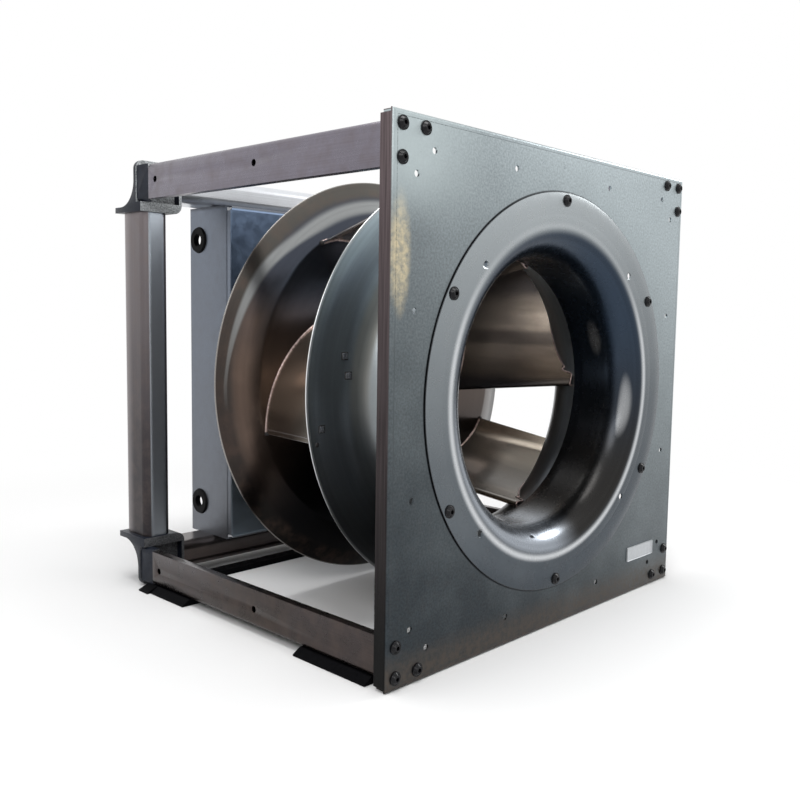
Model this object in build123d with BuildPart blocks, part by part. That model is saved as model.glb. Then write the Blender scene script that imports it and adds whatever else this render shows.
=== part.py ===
from build123d import *
import os
from math import asin, cos, radians, sin, sqrt

os.makedirs("parts", exist_ok=True)

# Plug fan: a backward-curved impeller on an external-rotor motor, hung behind a square nozzle plate.
# X runs to the right, Y with the air from the inlet to the back, Z up.
# The origin is the centre of the inlet, on the front face of the nozzle plate.

# Nozzle plate, a square sheet with its four edges folded back
plate_side = 700.0
plate_sheet = 3.0
plate_rim = 21.5
plate_bend = 4.0
rim_slit = 10.0
plate_opening_r = 262.0
plate_hole_d = 8.6
plate_hole_edge = 40.5
plate_hole_near = 116.2
plate_hole_corner = 71.0

# Inlet nozzle, spun from sheet
nozzle_sheet = 2.0
nozzle_flange_r = 290.0
nozzle_throat_r = 200.0
nozzle_lip_width = 43.0
nozzle_lip_depth = 53.0
nozzle_length = 110.0
nozzle_screw_r = 278.8
nozzle_screw_count = 6
nozzle_screw_turn = 30.0
guard_hole_r = 253.1
guard_hole_d = 9.0
guard_hole_count = 4
guard_hole_turn = 45.0
tap_hole_d = 4.0
tap_turn = -101.0
tap_on_lip = 227.0
tap_nipple_d = 8.0
tap_nipple_length = 16.0
tap_gap = 0.3

# Struts, L-shaped hollow extrusions with three screw ports
strut_inset = 9.5
strut_leg = 55.0
strut_web = 13.0
strut_round = 8.0
strut_wall = 2.0
strut_length = 558.0
port_pitch = 39.1
port_play = 0.1
chamber_length = 22.0
strut_hole_d = 10.0
strut_hole_rear = 20.0
strut_hole_middle = 279.0

# Rear frame of rounded tube
tube_width = 46.0
tube_depth = 70.0
tube_round = 14.0
tube_wall = 3.0
tube_setback = 27.0
tube_inset = 38.0
spigot_length = 32.0
spigot_play = 0.3

# Cast corner brackets
bracket_size = 82.0
lug_length = 36.0
bracket_wall = 7.0
bracket_lip = 9.0
bracket_cove = 42.0
bracket_round = 14.0
bracket_side = 2.0
lip_reach = 6.0
collar_height = 15.0
collar_cheek = 5.0

# Feet
foot_over = 12.0
foot_width = 86.0
foot_edge = 2.0
front_foot_start = 35.0
front_foot_length = 142.0
rear_foot_length = 94.0
bar_width = 27.0
bar_over = 17.5
bar_gap = 2.0

# Motor pan, folded from sheet and open at the back
pan_width = 400.0
pan_depth = 118.0
pan_front = 548.0
pan_sheet = 3.0
pan_bend = 8.0
pan_relief_r = 9.0
pan_opening_r = 86.0
pan_bolt_pitch = 150.0
grommet_from_end = 55.5
grommet_back = 91.0
grommet_hole_d = 38.0
grommet_d = 46.0
grommet_bore_d = 22.0
grommet_lip = 3.5
grommet_taper = 30.0
grommet_play = 0.3

# Impeller discs
disc_sheet = 2.5
hub_y = 340.0
hub_r = 140.0
hub_bore_r = 93.0
seat_rise = 23.0
back_rim_r = 334.0
back_rim_width = 64.0
back_rim_rise = 26.0
back_bend_r = 30.0
shroud_sheet = 2.0
shroud_rim_r = 325.6
shroud_rim_rise = 1.1
shroud_neck_r = 206.0
shroud_bend_r = 68.0
shroud_start = 98.0
shroud_neck = 20.0
shroud_hole_edge = 38.6
shroud_hole_d = 5.0
shroud_hole_turn = 181.0
weld_gap = 0.3

# Blades, hollow, of two curved skins that meet in a tail
blade_count = 5
blade_skin = 1.6
blade_thick = 15.5
blade_nose = 8.0
blade_tail = 30.0
loft_front = 95.0
loft_back = 375.0
back_in_r = 159.8
back_in_turn = 133.1
back_tail_inset = 3.0
back_out_turn = 196.5
back_bulge = 44.0
front_in_r = 210.7
front_in_turn = 143.3
front_tail_over = 13.1
front_out_turn = 190.9
front_bulge = 28.0
tab_width = 8.0
tab_stand = 2.5
tab_root = 6.0
tab_play = 0.3
tab_outer_skin = 0.48
tab_inner_skin = 0.56
tab_tail = 0.92

# Rotor of the motor
rotor_r = 92.0
rotor_wall = 6.0
rotor_nose = 18.0
rotor_nose_wall = 8.0
rotor_round = 8.0
rotor_length = 146.0
rotor_flange_r = 124.0
rotor_flange = 6.0
rotor_screw_r = 109.0
rotor_screw_count = 8
magnet_thick = 4.0
magnet_count = 10
magnet_gap = 2.0
magnet_over = 2.0
shaft_r = 10.0
shaft_length = 148.0
boss_r = 12.5

# Stator and bearings
air_gap = 0.8
stack_length = 84.0
slot_count = 12
slot_width = 11.0
slot_depth = 26.0
slot_mouth = 3.0
tooth_tip = 4.0
coil_play = 0.3
coil_end = 9.0
bearing_r = 23.5
bearing_width = 14.0
bearing_from_nose = 28.0
bearing_pitch = 100.0
bearing_inner_r = 13.0
bearing_outer_wall = 2.9
ball_pitch_r = 16.8
ball_r = 3.5
ball_count = 8
cage_width = 2.4
shield = 0.8
shield_gap = 0.3
seat_play = 0.05

# Stator housing and its bolts
tube_lead = 2.0
bearing_tube_wall = 10.2
disc_gap = 6.0
stator_disc_r = 116.0
stator_disc = 10.0
neck_r = 94.0
neck_wall = 6.0
rib_count = 12
rib_thick = 5.0
rib_inset = 3.0
mount_flange_r = 140.0
mount_flange = 12.0
mount_bolt_r = 128.0
mount_bolt_count = 4
wire_hole_d = 12.0
wire_hole_r = 60.0
wire_hole_count = 3

# Electronics housing at the back of the motor
box_side = 232.0
box_round = 34.0
box_depth = 64.0
box_wall = 5.0
box_wire_r = 40.0
box_boss_at = 98.0
box_boss_r = 9.0
post_at = 80.0
post_r = 5.0
post_height = 18.0
board_side = 176.0
board_thick = 2.0
capacitor_d = 25.0
capacitor_length = 32.0
capacitor_pitch = 34.0
capacitor_count = 3
capacitor_rise = 40.0
lid_thick = 6.0
fin_count = 11
fin_pitch = 20.0
fin_length = 170.0
fin_height = 14.0
fin_thick = 3.0
gland_width = 27.0
gland_nut = 7.0
gland_d = 20.0
gland_length = 14.0
gland_taper = 12.0
gland_thread_d = 16.0
gland_pitch = 46.0
gland_count = 3

# Screws
m8_d = 8.0
m8_head_d = 17.5
m8_crown_d = 9.5
m8_head = 5.0
m8_rim = 1.4
m8_socket = 5.0
m8_hole_d = 9.0
m8_length = 25.0
m8_short = 14.0
m6_d = 6.0
m6_head_d = 11.0
m6_crown_d = 7.0
m6_head = 3.3
m6_rim = 0.7
m6_socket = 4.0
m6_hole_d = 6.6
m6_length = 14.0
cap_head_d = 13.0
cap_head = 8.0
cap_socket = 6.0
cap_length = 62.0
head_play = 0.6

# Places that follow from the sizes above
half_plate = plate_side / 2
strut_face = half_plate - strut_inset
strut_rear = plate_sheet + strut_length
port_near = strut_face - strut_web / 2
port_far = port_near - port_pitch
port_middle = port_near - port_pitch / 2
tube_front = strut_rear + tube_setback
tube_mid = tube_front + tube_depth / 2
tube_centre = half_plate - tube_inset
bracket_inner = half_plate - bracket_size
pan_height = 2 * tube_centre - tube_width
pan_back = pan_front + pan_sheet
disc_back = hub_y + disc_sheet
seat_y = hub_y + seat_rise
seat_r = back_rim_r - back_rim_width
back_out_r = seat_r - back_tail_inset
front_out_r = shroud_rim_r + front_tail_over
bell_y = shroud_start + shroud_neck
rotor_front = hub_y - rotor_nose
rotor_back = rotor_front + rotor_length
rotor_in_r = rotor_r - rotor_wall
stator_r = rotor_in_r - magnet_thick - air_gap
front_bearing = rotor_front + bearing_from_nose
tube_bore_r = bearing_r + seat_play
tube_out_r = tube_bore_r + bearing_tube_wall
stack_front = (rotor_front + rotor_nose_wall + rotor_back - stack_length) / 2
disc_front = rotor_back + disc_gap


def across(y):
    """Plane across the air's path at depth y, facing the inlet: its x is X and its y is Z."""
    return Plane.XZ.offset(-y)


def facing_back(y):
    """Plane across the air's path at depth y, facing the back: its x is -X and its y is Z."""
    return Plane(origin=(0, y, 0), x_dir=(-1, 0, 0), z_dir=(0, 1, 0))


def polar(radius, angle):
    return Vector(radius * cos(radians(angle)), radius * sin(radians(angle)))


def four_ways(x, z):
    return [(side * x, level * z) for side in (-1, 1) for level in (-1, 1)]


def keep(builder, name):
    builder.part.label = name
    export_step(builder.part, f"parts/{name}.step")


# Screws stand on a plane: the head above it, the shank below
def button_screw(shank_d, length, head_d, crown_d, head, rim, socket):
    with BuildPart() as screw:
        Cylinder(head_d / 2, rim, align=(Align.CENTER, Align.CENTER, Align.MIN))
        with Locations((0, 0, rim)):
            Cone(head_d / 2 - rim, crown_d / 2, head - rim, align=(Align.CENTER, Align.CENTER, Align.MIN))
        with BuildSketch(Plane.XY.offset(head)):
            RegularPolygon(socket / 2, 6, major_radius=False)
        extrude(amount=-(head - rim), mode=Mode.SUBTRACT)
        Cylinder(shank_d / 2, length, align=(Align.CENTER, Align.CENTER, Align.MAX))
    return screw.part


def cap_screw(shank_d, length, head_d, head, socket):
    with BuildPart() as screw:
        Cylinder(head_d / 2, head, align=(Align.CENTER, Align.CENTER, Align.MIN))
        with BuildSketch(Plane.XY.offset(head)):
            RegularPolygon(socket / 2, 6, major_radius=False)
        extrude(amount=-head / 2, mode=Mode.SUBTRACT)
        Cylinder(shank_d / 2, length, align=(Align.CENTER, Align.CENTER, Align.MAX))
    return screw.part


flange_m8 = button_screw(m8_d, m8_length, m8_head_d, m8_crown_d, m8_head, m8_rim, m8_socket)
short_m8 = button_screw(m8_d, m8_short, m8_head_d, m8_crown_d, m8_head, m8_rim, m8_socket)
button_m6 = button_screw(m6_d, m6_length, m6_head_d, m6_crown_d, m6_head, m6_rim, m6_socket)
cap_m8 = cap_screw(m8_d, cap_length, cap_head_d, cap_head, cap_socket)

# Nozzle plate
port_places = four_ways(port_near, port_near) + four_ways(port_far, port_near) + four_ways(port_near, port_far)
hole_line = half_plate - plate_hole_edge
plate_hole_far = half_plate - plate_hole_corner
small_holes = (
    four_ways(plate_hole_near, hole_line)
    + four_ways(plate_hole_far, hole_line)
    + four_ways(hole_line, plate_hole_near)
    + four_ways(hole_line, plate_hole_far)
)
with BuildPart() as nozzle_plate:
    with BuildSketch(across(0)):
        Rectangle(plate_side, plate_side)
    extrude(amount=-plate_rim)
    fillet(nozzle_plate.faces().sort_by(Axis.Y)[0].edges(), plate_bend)
    with BuildSketch(across(plate_sheet)):
        Rectangle(plate_side - 2 * plate_sheet, plate_side - 2 * plate_sheet)
    extrude(amount=-plate_rim, mode=Mode.SUBTRACT)
    with BuildSketch(across(plate_bend)):
        with Locations(*four_ways(half_plate, half_plate)):
            Rectangle(rim_slit, rim_slit)
    extrude(amount=-plate_rim, mode=Mode.SUBTRACT)
    with BuildSketch(across(0)):
        Circle(plate_opening_r)
        with Locations(*port_places):
            Circle(m8_hole_d / 2)
        with Locations(*small_holes):
            Circle(plate_hole_d / 2)
        with PolarLocations(nozzle_screw_r, nozzle_screw_count, nozzle_screw_turn):
            Circle(m8_hole_d / 2)
    extrude(amount=-plate_sheet, mode=Mode.SUBTRACT)
keep(nozzle_plate, "nozzle_plate")

# Inlet nozzle: flat flange, elliptical lip, straight throat
lip_r = nozzle_throat_r + nozzle_lip_width
lip_end = nozzle_lip_depth - nozzle_sheet
throat_out_r = nozzle_throat_r + nozzle_sheet
lip_x, lip_y = polar(1, tap_on_lip).X, polar(1, tap_on_lip).Y
tap_out = Vector(-lip_x * nozzle_lip_depth, -lip_y * nozzle_lip_width).normalized()
tap_r = lip_r + lip_x * nozzle_lip_width + tap_out.X * nozzle_sheet
tap_place = polar(tap_r, tap_turn)
tap_side = polar(tap_out.X, tap_turn)
tap_plane = Plane(
    origin=(tap_place.X, lip_end + lip_y * nozzle_lip_depth + tap_out.Y * nozzle_sheet, tap_place.Y),
    z_dir=(tap_side.X, tap_out.Y, tap_side.Y),
)
with BuildPart() as inlet_nozzle:
    with BuildSketch(Plane.XY):
        with BuildLine():
            EllipticalCenterArc((lip_r, lip_end), nozzle_lip_width, nozzle_lip_depth, 180, arc_size=90)
            Line((lip_r, -nozzle_sheet), (nozzle_flange_r, -nozzle_sheet))
            Line((nozzle_flange_r, -nozzle_sheet), (nozzle_flange_r, 0))
            Line((nozzle_flange_r, 0), (lip_r, 0))
            EllipticalCenterArc((lip_r, lip_end), nozzle_lip_width - nozzle_sheet, lip_end, 180, arc_size=90)
            Line((throat_out_r, lip_end), (throat_out_r, nozzle_length))
            Line((throat_out_r, nozzle_length), (nozzle_throat_r, nozzle_length))
            Line((nozzle_throat_r, nozzle_length), (nozzle_throat_r, lip_end))
        make_face()
    revolve(axis=Axis.Y)
    with BuildSketch(across(-nozzle_sheet)):
        with PolarLocations(nozzle_screw_r, nozzle_screw_count, nozzle_screw_turn):
            Circle(m8_hole_d / 2)
        with PolarLocations(guard_hole_r, guard_hole_count, guard_hole_turn):
            Circle(guard_hole_d / 2)
    extrude(amount=-nozzle_sheet, mode=Mode.SUBTRACT)
    with BuildSketch(tap_plane):
        Circle(tap_hole_d / 2)
    extrude(amount=2 * nozzle_sheet, both=True, mode=Mode.SUBTRACT)
keep(inlet_nozzle, "inlet_nozzle")

# Pressure tap behind the lip, for measuring the air volume
with BuildPart() as pressure_tap:
    with BuildSketch(tap_plane.offset(tap_gap)):
        Circle(tap_nipple_d / 2)
        Circle(tap_hole_d / 2, mode=Mode.SUBTRACT)
    extrude(amount=tap_nipple_length)
keep(pressure_tap, "pressure_tap")

with BuildPart() as nozzle_screws:
    with Locations(across(-nozzle_sheet)):
        with PolarLocations(nozzle_screw_r, nozzle_screw_count, nozzle_screw_turn):
            add(flange_m8)
keep(nozzle_screws, "nozzle_screws")

with BuildPart() as corner_screws:
    with Locations(across(0)):
        with Locations(*port_places):
            add(flange_m8)
keep(corner_screws, "corner_screws")


def keep_corners(piece, name):
    """Write the piece at the top right, and its mirror images at the other three corners."""
    left = mirror(piece, about=Plane.YZ, mode=Mode.PRIVATE)
    below = mirror(piece, about=Plane.XY, mode=Mode.PRIVATE)
    below_left = mirror(left, about=Plane.XY, mode=Mode.PRIVATE)
    for shape, place in (
        (piece, "top_right"),
        (left, "top_left"),
        (below, "bottom_right"),
        (below_left, "bottom_left"),
    ):
        with BuildPart() as corner:
            add(shape)
        keep(corner, f"{name}_{place}")


def angle_outline(leg):
    """The L of the strut's section with legs of a length, its outer corner rounded."""
    with Locations((strut_face, strut_face)):
        Rectangle(leg, leg, align=(Align.MAX, Align.MAX))
    with Locations((strut_face - strut_web, strut_face - strut_web)):
        Rectangle(leg, leg, align=(Align.MAX, Align.MAX), mode=Mode.SUBTRACT)
    fillet(vertices().sort_by(lambda v: v.X + v.Z)[-1], strut_round)


# Struts
with BuildPart() as strut:
    with BuildSketch(across(plate_sheet)):
        angle_outline(strut_leg)
        with Locations((port_near, port_near), (port_far, port_near), (port_near, port_far)):
            Circle((m8_d + port_play) / 2, mode=Mode.SUBTRACT)
        with Locations((port_middle, port_near)):
            Rectangle(chamber_length, strut_web - 2 * strut_wall, mode=Mode.SUBTRACT)
        with Locations((port_near, port_middle)):
            Rectangle(strut_web - 2 * strut_wall, chamber_length, mode=Mode.SUBTRACT)
    extrude(amount=-strut_length)
    with BuildSketch(Plane.YZ.offset(strut_face)):
        with Locations(
            (strut_rear - strut_hole_rear, port_middle), (strut_rear - strut_hole_middle, port_middle)
        ):
            Circle(strut_hole_d / 2)
    extrude(amount=-strut_web / 2, mode=Mode.SUBTRACT)
keep_corners(strut.part, "strut")

# Corner brackets: a lug behind the strut, a wall, and a cove from the wall to a lip over each tube's end
lug_back = strut_rear + lug_length
wall_back = lug_back + bracket_wall
lip_top = bracket_inner + bracket_lip
lip_back = tube_front + tube_depth + lip_reach
side_face = strut_face + bracket_side
collar_top = bracket_inner + collar_height
spigot_width = tube_width - 2 * tube_wall - 2 * spigot_play
spigot_depth = tube_depth - 2 * tube_wall - 2 * spigot_play
spigot_round = tube_round - tube_wall


def cove_outline(outer):
    """Wall, cove and lip from the tube's end outwards, as distance from the axis and depth."""
    Line((lip_top, lip_back), (lip_top, wall_back + bracket_cove))
    CenterArc((lip_top + bracket_cove, wall_back + bracket_cove), bracket_cove, 180, 90)
    Polyline(
        (lip_top + bracket_cove, wall_back),
        (outer, wall_back),
        (outer, lug_back),
        (bracket_inner, lug_back),
        (bracket_inner, lip_back),
        (lip_top, lip_back),
    )


with BuildPart() as bracket:
    with BuildSketch(Plane(origin=(side_face, 0, 0), x_dir=(0, 0, 1), z_dir=(-1, 0, 0))):
        with BuildLine():
            cove_outline(half_plate)
        make_face()
    extrude(amount=side_face - bracket_inner)
    with BuildSketch(Plane.XY.offset(bracket_inner)):
        with BuildLine():
            cove_outline(side_face)
        make_face()
    extrude(amount=half_plate - bracket_inner)
    with BuildSketch(across(tube_front - collar_cheek)):
        with Locations((bracket_inner, bracket_inner)):
            Rectangle(side_face - bracket_inner, collar_height, align=(Align.MIN, Align.MIN))
            Rectangle(collar_cheek, strut_face - bracket_inner, align=(Align.MIN, Align.MIN))
    extrude(amount=-(lug_back - tube_front + collar_cheek))
    corner_edges = bracket.edges().filter_by(Axis.Y).sort_by(lambda e: e.center().X + e.center().Z)
    fillet([corner_edges[0], corner_edges[-1]], bracket_round)
    with BuildSketch(across(strut_rear)):
        angle_outline(strut_face - collar_top)
    extrude(amount=-lug_length)
    with BuildSketch(Plane.XY.offset(bracket_inner)):
        with Locations((tube_centre, tube_mid)):
            RectangleRounded(spigot_width, spigot_depth, spigot_round)
    extrude(amount=-spigot_length)
    with BuildSketch(Plane.YZ.offset(bracket_inner)):
        with Locations((tube_mid, tube_centre)):
            RectangleRounded(spigot_depth, spigot_width, spigot_round)
    extrude(amount=-spigot_length)
    with BuildSketch(across(strut_rear)):
        with Locations((port_far, port_near), (port_near, port_far)):
            Circle(m8_hole_d / 2)
    extrude(amount=-lug_length, mode=Mode.SUBTRACT)
    with BuildSketch(across(lug_back)):
        with Locations((port_far, port_near), (port_near, port_far)):
            Circle((cap_head_d + head_play) / 2)
    extrude(amount=-(lip_back - lug_back), mode=Mode.SUBTRACT)
keep_corners(bracket.part, "corner_bracket")

with BuildPart() as bracket_screws:
    with Locations(facing_back(lug_back)):
        with Locations(*(four_ways(port_far, port_near) + four_ways(port_near, port_far))):
            add(cap_m8)
keep(bracket_screws, "bracket_screws")

# Posts and cross tubes
for side, name in ((-1, "post_left"), (1, "post_right")):
    with BuildPart() as post:
        with BuildSketch(Plane.XY.offset(-bracket_inner)):
            with Locations((side * tube_centre, tube_mid)):
                RectangleRounded(tube_width, tube_depth, tube_round)
                RectangleRounded(
                    tube_width - 2 * tube_wall,
                    tube_depth - 2 * tube_wall,
                    tube_round - tube_wall,
                    mode=Mode.SUBTRACT,
                )
        extrude(amount=2 * bracket_inner)
    keep(post, name)

for level, name in ((-1, "cross_tube_bottom"), (1, "cross_tube_top")):
    with BuildPart() as cross_tube:
        with BuildSketch(Plane.YZ.offset(-bracket_inner)):
            with Locations((tube_mid, level * tube_centre)):
                RectangleRounded(tube_depth, tube_width, tube_round)
                RectangleRounded(
                    tube_depth - 2 * tube_wall,
                    tube_width - 2 * tube_wall,
                    tube_round - tube_wall,
                    mode=Mode.SUBTRACT,
                )
        extrude(amount=2 * bracket_inner)
        with BuildSketch(Plane.XY.offset(level * pan_height / 2)):
            with Locations((-pan_bolt_pitch, tube_mid), (0, tube_mid), (pan_bolt_pitch, tube_mid)):
                Circle((m6_d + port_play) / 2)
        extrude(amount=level * tube_wall, mode=Mode.SUBTRACT)
    keep(cross_tube, name)

# Feet: a rubber pad under both ends of each lower strut, and a bar across under the rear ends
foot_out = strut_face + foot_over
bar_out = strut_face + bar_over
rear_foot_start = strut_rear - bar_width / 2 - bar_gap - rear_foot_length
for side, side_name in ((-1, "left"), (1, "right")):
    for start, length, place in (
        (front_foot_start, front_foot_length, "front"),
        (rear_foot_start, rear_foot_length, "rear"),
    ):
        with BuildPart() as foot:
            with BuildSketch(across(start)):
                with BuildLine():
                    Polyline(
                        (side * (foot_out - foot_width), -half_plate),
                        (side * (foot_out - foot_width), -strut_face),
                        (side * strut_face, -strut_face),
                        (side * foot_out, foot_edge - half_plate),
                        (side * foot_out, -half_plate),
                        close=True,
                    )
                make_face()
            extrude(amount=-length)
        keep(foot, f"foot_{place}_{side_name}")

with BuildPart() as rear_bar:
    with BuildSketch(across(strut_rear - bar_width / 2)):
        with BuildLine():
            Polyline(
                (-bar_out, -half_plate),
                (-bar_out, foot_edge - half_plate),
                (-strut_face, -strut_face),
                (strut_face, -strut_face),
                (bar_out, foot_edge - half_plate),
                (bar_out, -half_plate),
                close=True,
            )
        make_face()
    extrude(amount=-bar_width)
keep(rear_bar, "rear_bar")

# Motor pan
grommet_y = pan_front + grommet_back
grommet_rise = pan_height / 2 - grommet_from_end
pan_bolts = ((-pan_bolt_pitch, 0), (0, 0), (pan_bolt_pitch, 0))
with BuildPart() as motor_pan:
    with BuildSketch(across(pan_front)):
        Rectangle(pan_width, pan_height)
    extrude(amount=-pan_depth)
    fillet(motor_pan.faces().sort_by(Axis.Y)[0].edges(), pan_bend)
    with BuildSketch(across(pan_back)):
        Rectangle(pan_width - 2 * pan_sheet, pan_height - 2 * pan_sheet)
    extrude(amount=-pan_depth, mode=Mode.SUBTRACT)
    with BuildSketch(across(pan_front)):
        Circle(pan_opening_r)
        with PolarLocations(mount_bolt_r, mount_bolt_count):
            Circle(m8_hole_d / 2)
        with Locations(*four_ways(pan_width / 2, pan_height / 2)):
            Circle(pan_relief_r)
    extrude(amount=-pan_relief_r, mode=Mode.SUBTRACT)
    with BuildSketch(Plane.YZ.offset(-pan_width / 2)):
        with Locations((grommet_y, grommet_rise), (grommet_y, -grommet_rise)):
            Circle(grommet_hole_d / 2)
    extrude(amount=pan_width, mode=Mode.SUBTRACT)
    with BuildSketch(Plane.XY.offset(-pan_height / 2)):
        with Locations(*[(x, tube_mid) for x, y in pan_bolts]):
            Circle(m6_hole_d / 2)
    extrude(amount=pan_height, mode=Mode.SUBTRACT)
keep(motor_pan, "motor_pan")

with BuildPart() as pan_screws:
    for level in (-1, 1):
        seat = (0, tube_mid, level * (pan_height / 2 - pan_sheet))
        with Locations(Plane(origin=seat, x_dir=(1, 0, 0), z_dir=(0, 0, -level))):
            with Locations(*pan_bolts):
                add(button_m6)
keep(pan_screws, "pan_screws")

# Grommets in the pan's sides
for side, side_name in ((-1, "left"), (1, "right")):
    for level, level_name in ((-1, "bottom"), (1, "top")):
        sheet_plane = Plane(
            origin=(side * (pan_width - pan_sheet) / 2, grommet_y, level * grommet_rise),
            x_dir=(0, 1, 0),
            z_dir=(side, 0, 0),
        )
        with BuildPart() as grommet:
            with BuildSketch(sheet_plane):
                Circle(grommet_hole_d / 2 - grommet_play)
            extrude(amount=pan_sheet / 2, both=True)
            for way in (-1, 1):
                with BuildSketch(sheet_plane.offset(way * pan_sheet / 2)):
                    Circle(grommet_d / 2)
                extrude(amount=way * grommet_lip, taper=grommet_taper)
            with BuildSketch(sheet_plane):
                Circle(grommet_bore_d / 2)
            extrude(amount=pan_sheet / 2 + grommet_lip, both=True, mode=Mode.SUBTRACT)
        keep(grommet, f"grommet_{level_name}_{side_name}")


# Impeller back disc: flat hub, cone under the blades, flared rim
def back_disc_line(shift):
    """The disc's front face as radius and depth, moved back by shift."""
    FilletPolyline(
        (hub_bore_r, hub_y + shift),
        (hub_r, hub_y + shift),
        (seat_r, seat_y + shift),
        (back_rim_r, seat_y + back_rim_rise + shift),
        radius=back_bend_r,
    )


with BuildPart() as impeller_back:
    with BuildSketch(Plane.XY):
        with BuildLine():
            back_disc_line(0)
            back_disc_line(disc_sheet)
            Line((hub_bore_r, hub_y), (hub_bore_r, disc_back))
            Line(
                (back_rim_r, seat_y + back_rim_rise),
                (back_rim_r, seat_y + back_rim_rise + disc_sheet),
            )
        make_face()
    revolve(axis=Axis.Y)
    with BuildSketch(across(hub_y)):
        with PolarLocations(rotor_screw_r, rotor_screw_count):
            Circle(m6_hole_d / 2)
    extrude(amount=-disc_sheet, mode=Mode.SUBTRACT)
keep(impeller_back, "impeller_back_disc")

# Impeller shroud and blades. The shroud is a short neck, a quarter bend and a nearly flat rim
bend_r = shroud_neck_r + shroud_bend_r


def shroud_line(shift):
    """The shroud's face on the air's side as radius and depth, moved into the air by shift."""
    flat_y = bell_y + shroud_bend_r + shift
    CenterArc((bend_r, bell_y), shroud_bend_r + shift, 90, 90)
    Line((bend_r, flat_y), (shroud_rim_r, flat_y + shroud_rim_rise))


def shroud_front(radius):
    """Depth of the shroud's outer face at a radius."""
    over = max(0, bend_r - radius)
    return bell_y + sqrt((shroud_bend_r - shroud_sheet) ** 2 - over**2)


# Blade section at a depth: a share along the outer skin's arc, and a depth under that skin
def section(y):
    """Centre, radius, half angle and directions of the outer skin's arc at depth y."""
    share = (loft_back - y) / (loft_back - loft_front)
    inlet = polar(back_in_r, back_in_turn) * (1 - share) + polar(front_in_r, front_in_turn) * share
    outlet = polar(back_out_r, back_out_turn) * (1 - share) + polar(front_out_r, front_out_turn) * share
    bulge = back_bulge * (1 - share) + front_bulge * share
    chord = outlet - inlet
    run = chord.normalized()
    out = Vector(run.Y, -run.X)
    radius = (chord.length**2 / 4 + bulge**2) / (2 * bulge)
    centre = (inlet + outlet) / 2 - out * (radius - bulge)
    return centre, radius, asin(chord.length / 2 / radius), run, out


def skin_point(y, along, depth):
    centre, radius, half, run, out = section(y)
    turn = (2 * along - 1) * half
    return centre + (run * sin(turn) + out * cos(turn)) * (radius - depth)


def skin_share(y, length):
    """A length along the outer skin, as a share of it."""
    centre, radius, half, run, out = section(y)
    return length / (2 * half * radius)


def blade_outline(y, inset):
    """Outline of both skins for inset 0, and of the hollow between them for the skin's thickness."""
    crease = 1 - skin_share(y, blade_tail)
    nose_tip = skin_point(y, -skin_share(y, blade_nose / 2 - inset), blade_nose / 2)
    under = blade_nose - inset
    ThreePointArc(skin_point(y, 0, under), nose_tip, skin_point(y, 0, inset))
    if inset:
        crease_point = skin_point(y, crease, inset)
        ThreePointArc(skin_point(y, 0, inset), skin_point(y, crease / 2, inset), crease_point)
    else:
        crease_point = skin_point(y, crease, 2 * blade_skin)
        ThreePointArc(skin_point(y, 0, 0), skin_point(y, 0.5, 0), skin_point(y, 1, 0))
        Line(skin_point(y, 1, 0), skin_point(y, 1, 2 * blade_skin))
        Line(skin_point(y, 1, 2 * blade_skin), crease_point)
    ThreePointArc(crease_point, skin_point(y, crease / 2, blade_thick - inset), skin_point(y, 0, under))


def tab_plane(along, depth):
    """Plane across a tab at its outer end, facing the blade along the skin."""
    flat = section(bell_y + shroud_bend_r)
    radius = skin_point(bell_y + shroud_bend_r, along, depth).length
    top = shroud_front(radius) - tab_stand
    here = skin_point(top, along, depth)
    deeper = skin_point(top + tab_root, along, depth)
    lean = Vector(deeper.X - here.X, tab_root, deeper.Y - here.Y)
    run = flat[3]
    return Plane(origin=(here.X, top, here.Y), x_dir=(run.X, 0, run.Y), z_dir=lean)


tab_planes = (
    tab_plane(tab_outer_skin, blade_skin / 2),
    tab_plane(tab_inner_skin, blade_thick - blade_skin / 2),
    tab_plane(tab_tail, blade_skin),
)
tab_length = tab_stand + shroud_sheet + weld_gap + tab_root

with BuildPart() as shroud_slots:
    for plane in tab_planes:
        with BuildSketch(plane):
            Rectangle(tab_width + 2 * tab_play, blade_skin + 2 * tab_play)
        extrude(amount=tab_length)

with BuildPart() as impeller_shroud:
    with BuildSketch(Plane.XY):
        with BuildLine():
            shroud_line(0)
            shroud_line(-shroud_sheet)
            neck_out_r = shroud_neck_r + shroud_sheet
            rim_y = bell_y + shroud_bend_r + shroud_rim_rise
            Polyline(
                (shroud_neck_r, bell_y),
                (shroud_neck_r, shroud_start),
                (neck_out_r, shroud_start),
                (neck_out_r, bell_y),
            )
            Line((shroud_rim_r, rim_y), (shroud_rim_r, rim_y - shroud_sheet))
        make_face()
    revolve(axis=Axis.Y)
    with BuildSketch(across(shroud_start)):
        with PolarLocations(shroud_rim_r - shroud_hole_edge, blade_count, shroud_hole_turn):
            Circle(shroud_hole_d / 2)
    extrude(amount=-shroud_neck - 2 * shroud_bend_r, mode=Mode.SUBTRACT)
    for number in range(blade_count):
        add(shroud_slots.part.rotate(Axis.Y, number * 360 / blade_count), mode=Mode.SUBTRACT)
keep(impeller_shroud, "impeller_shroud")

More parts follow.
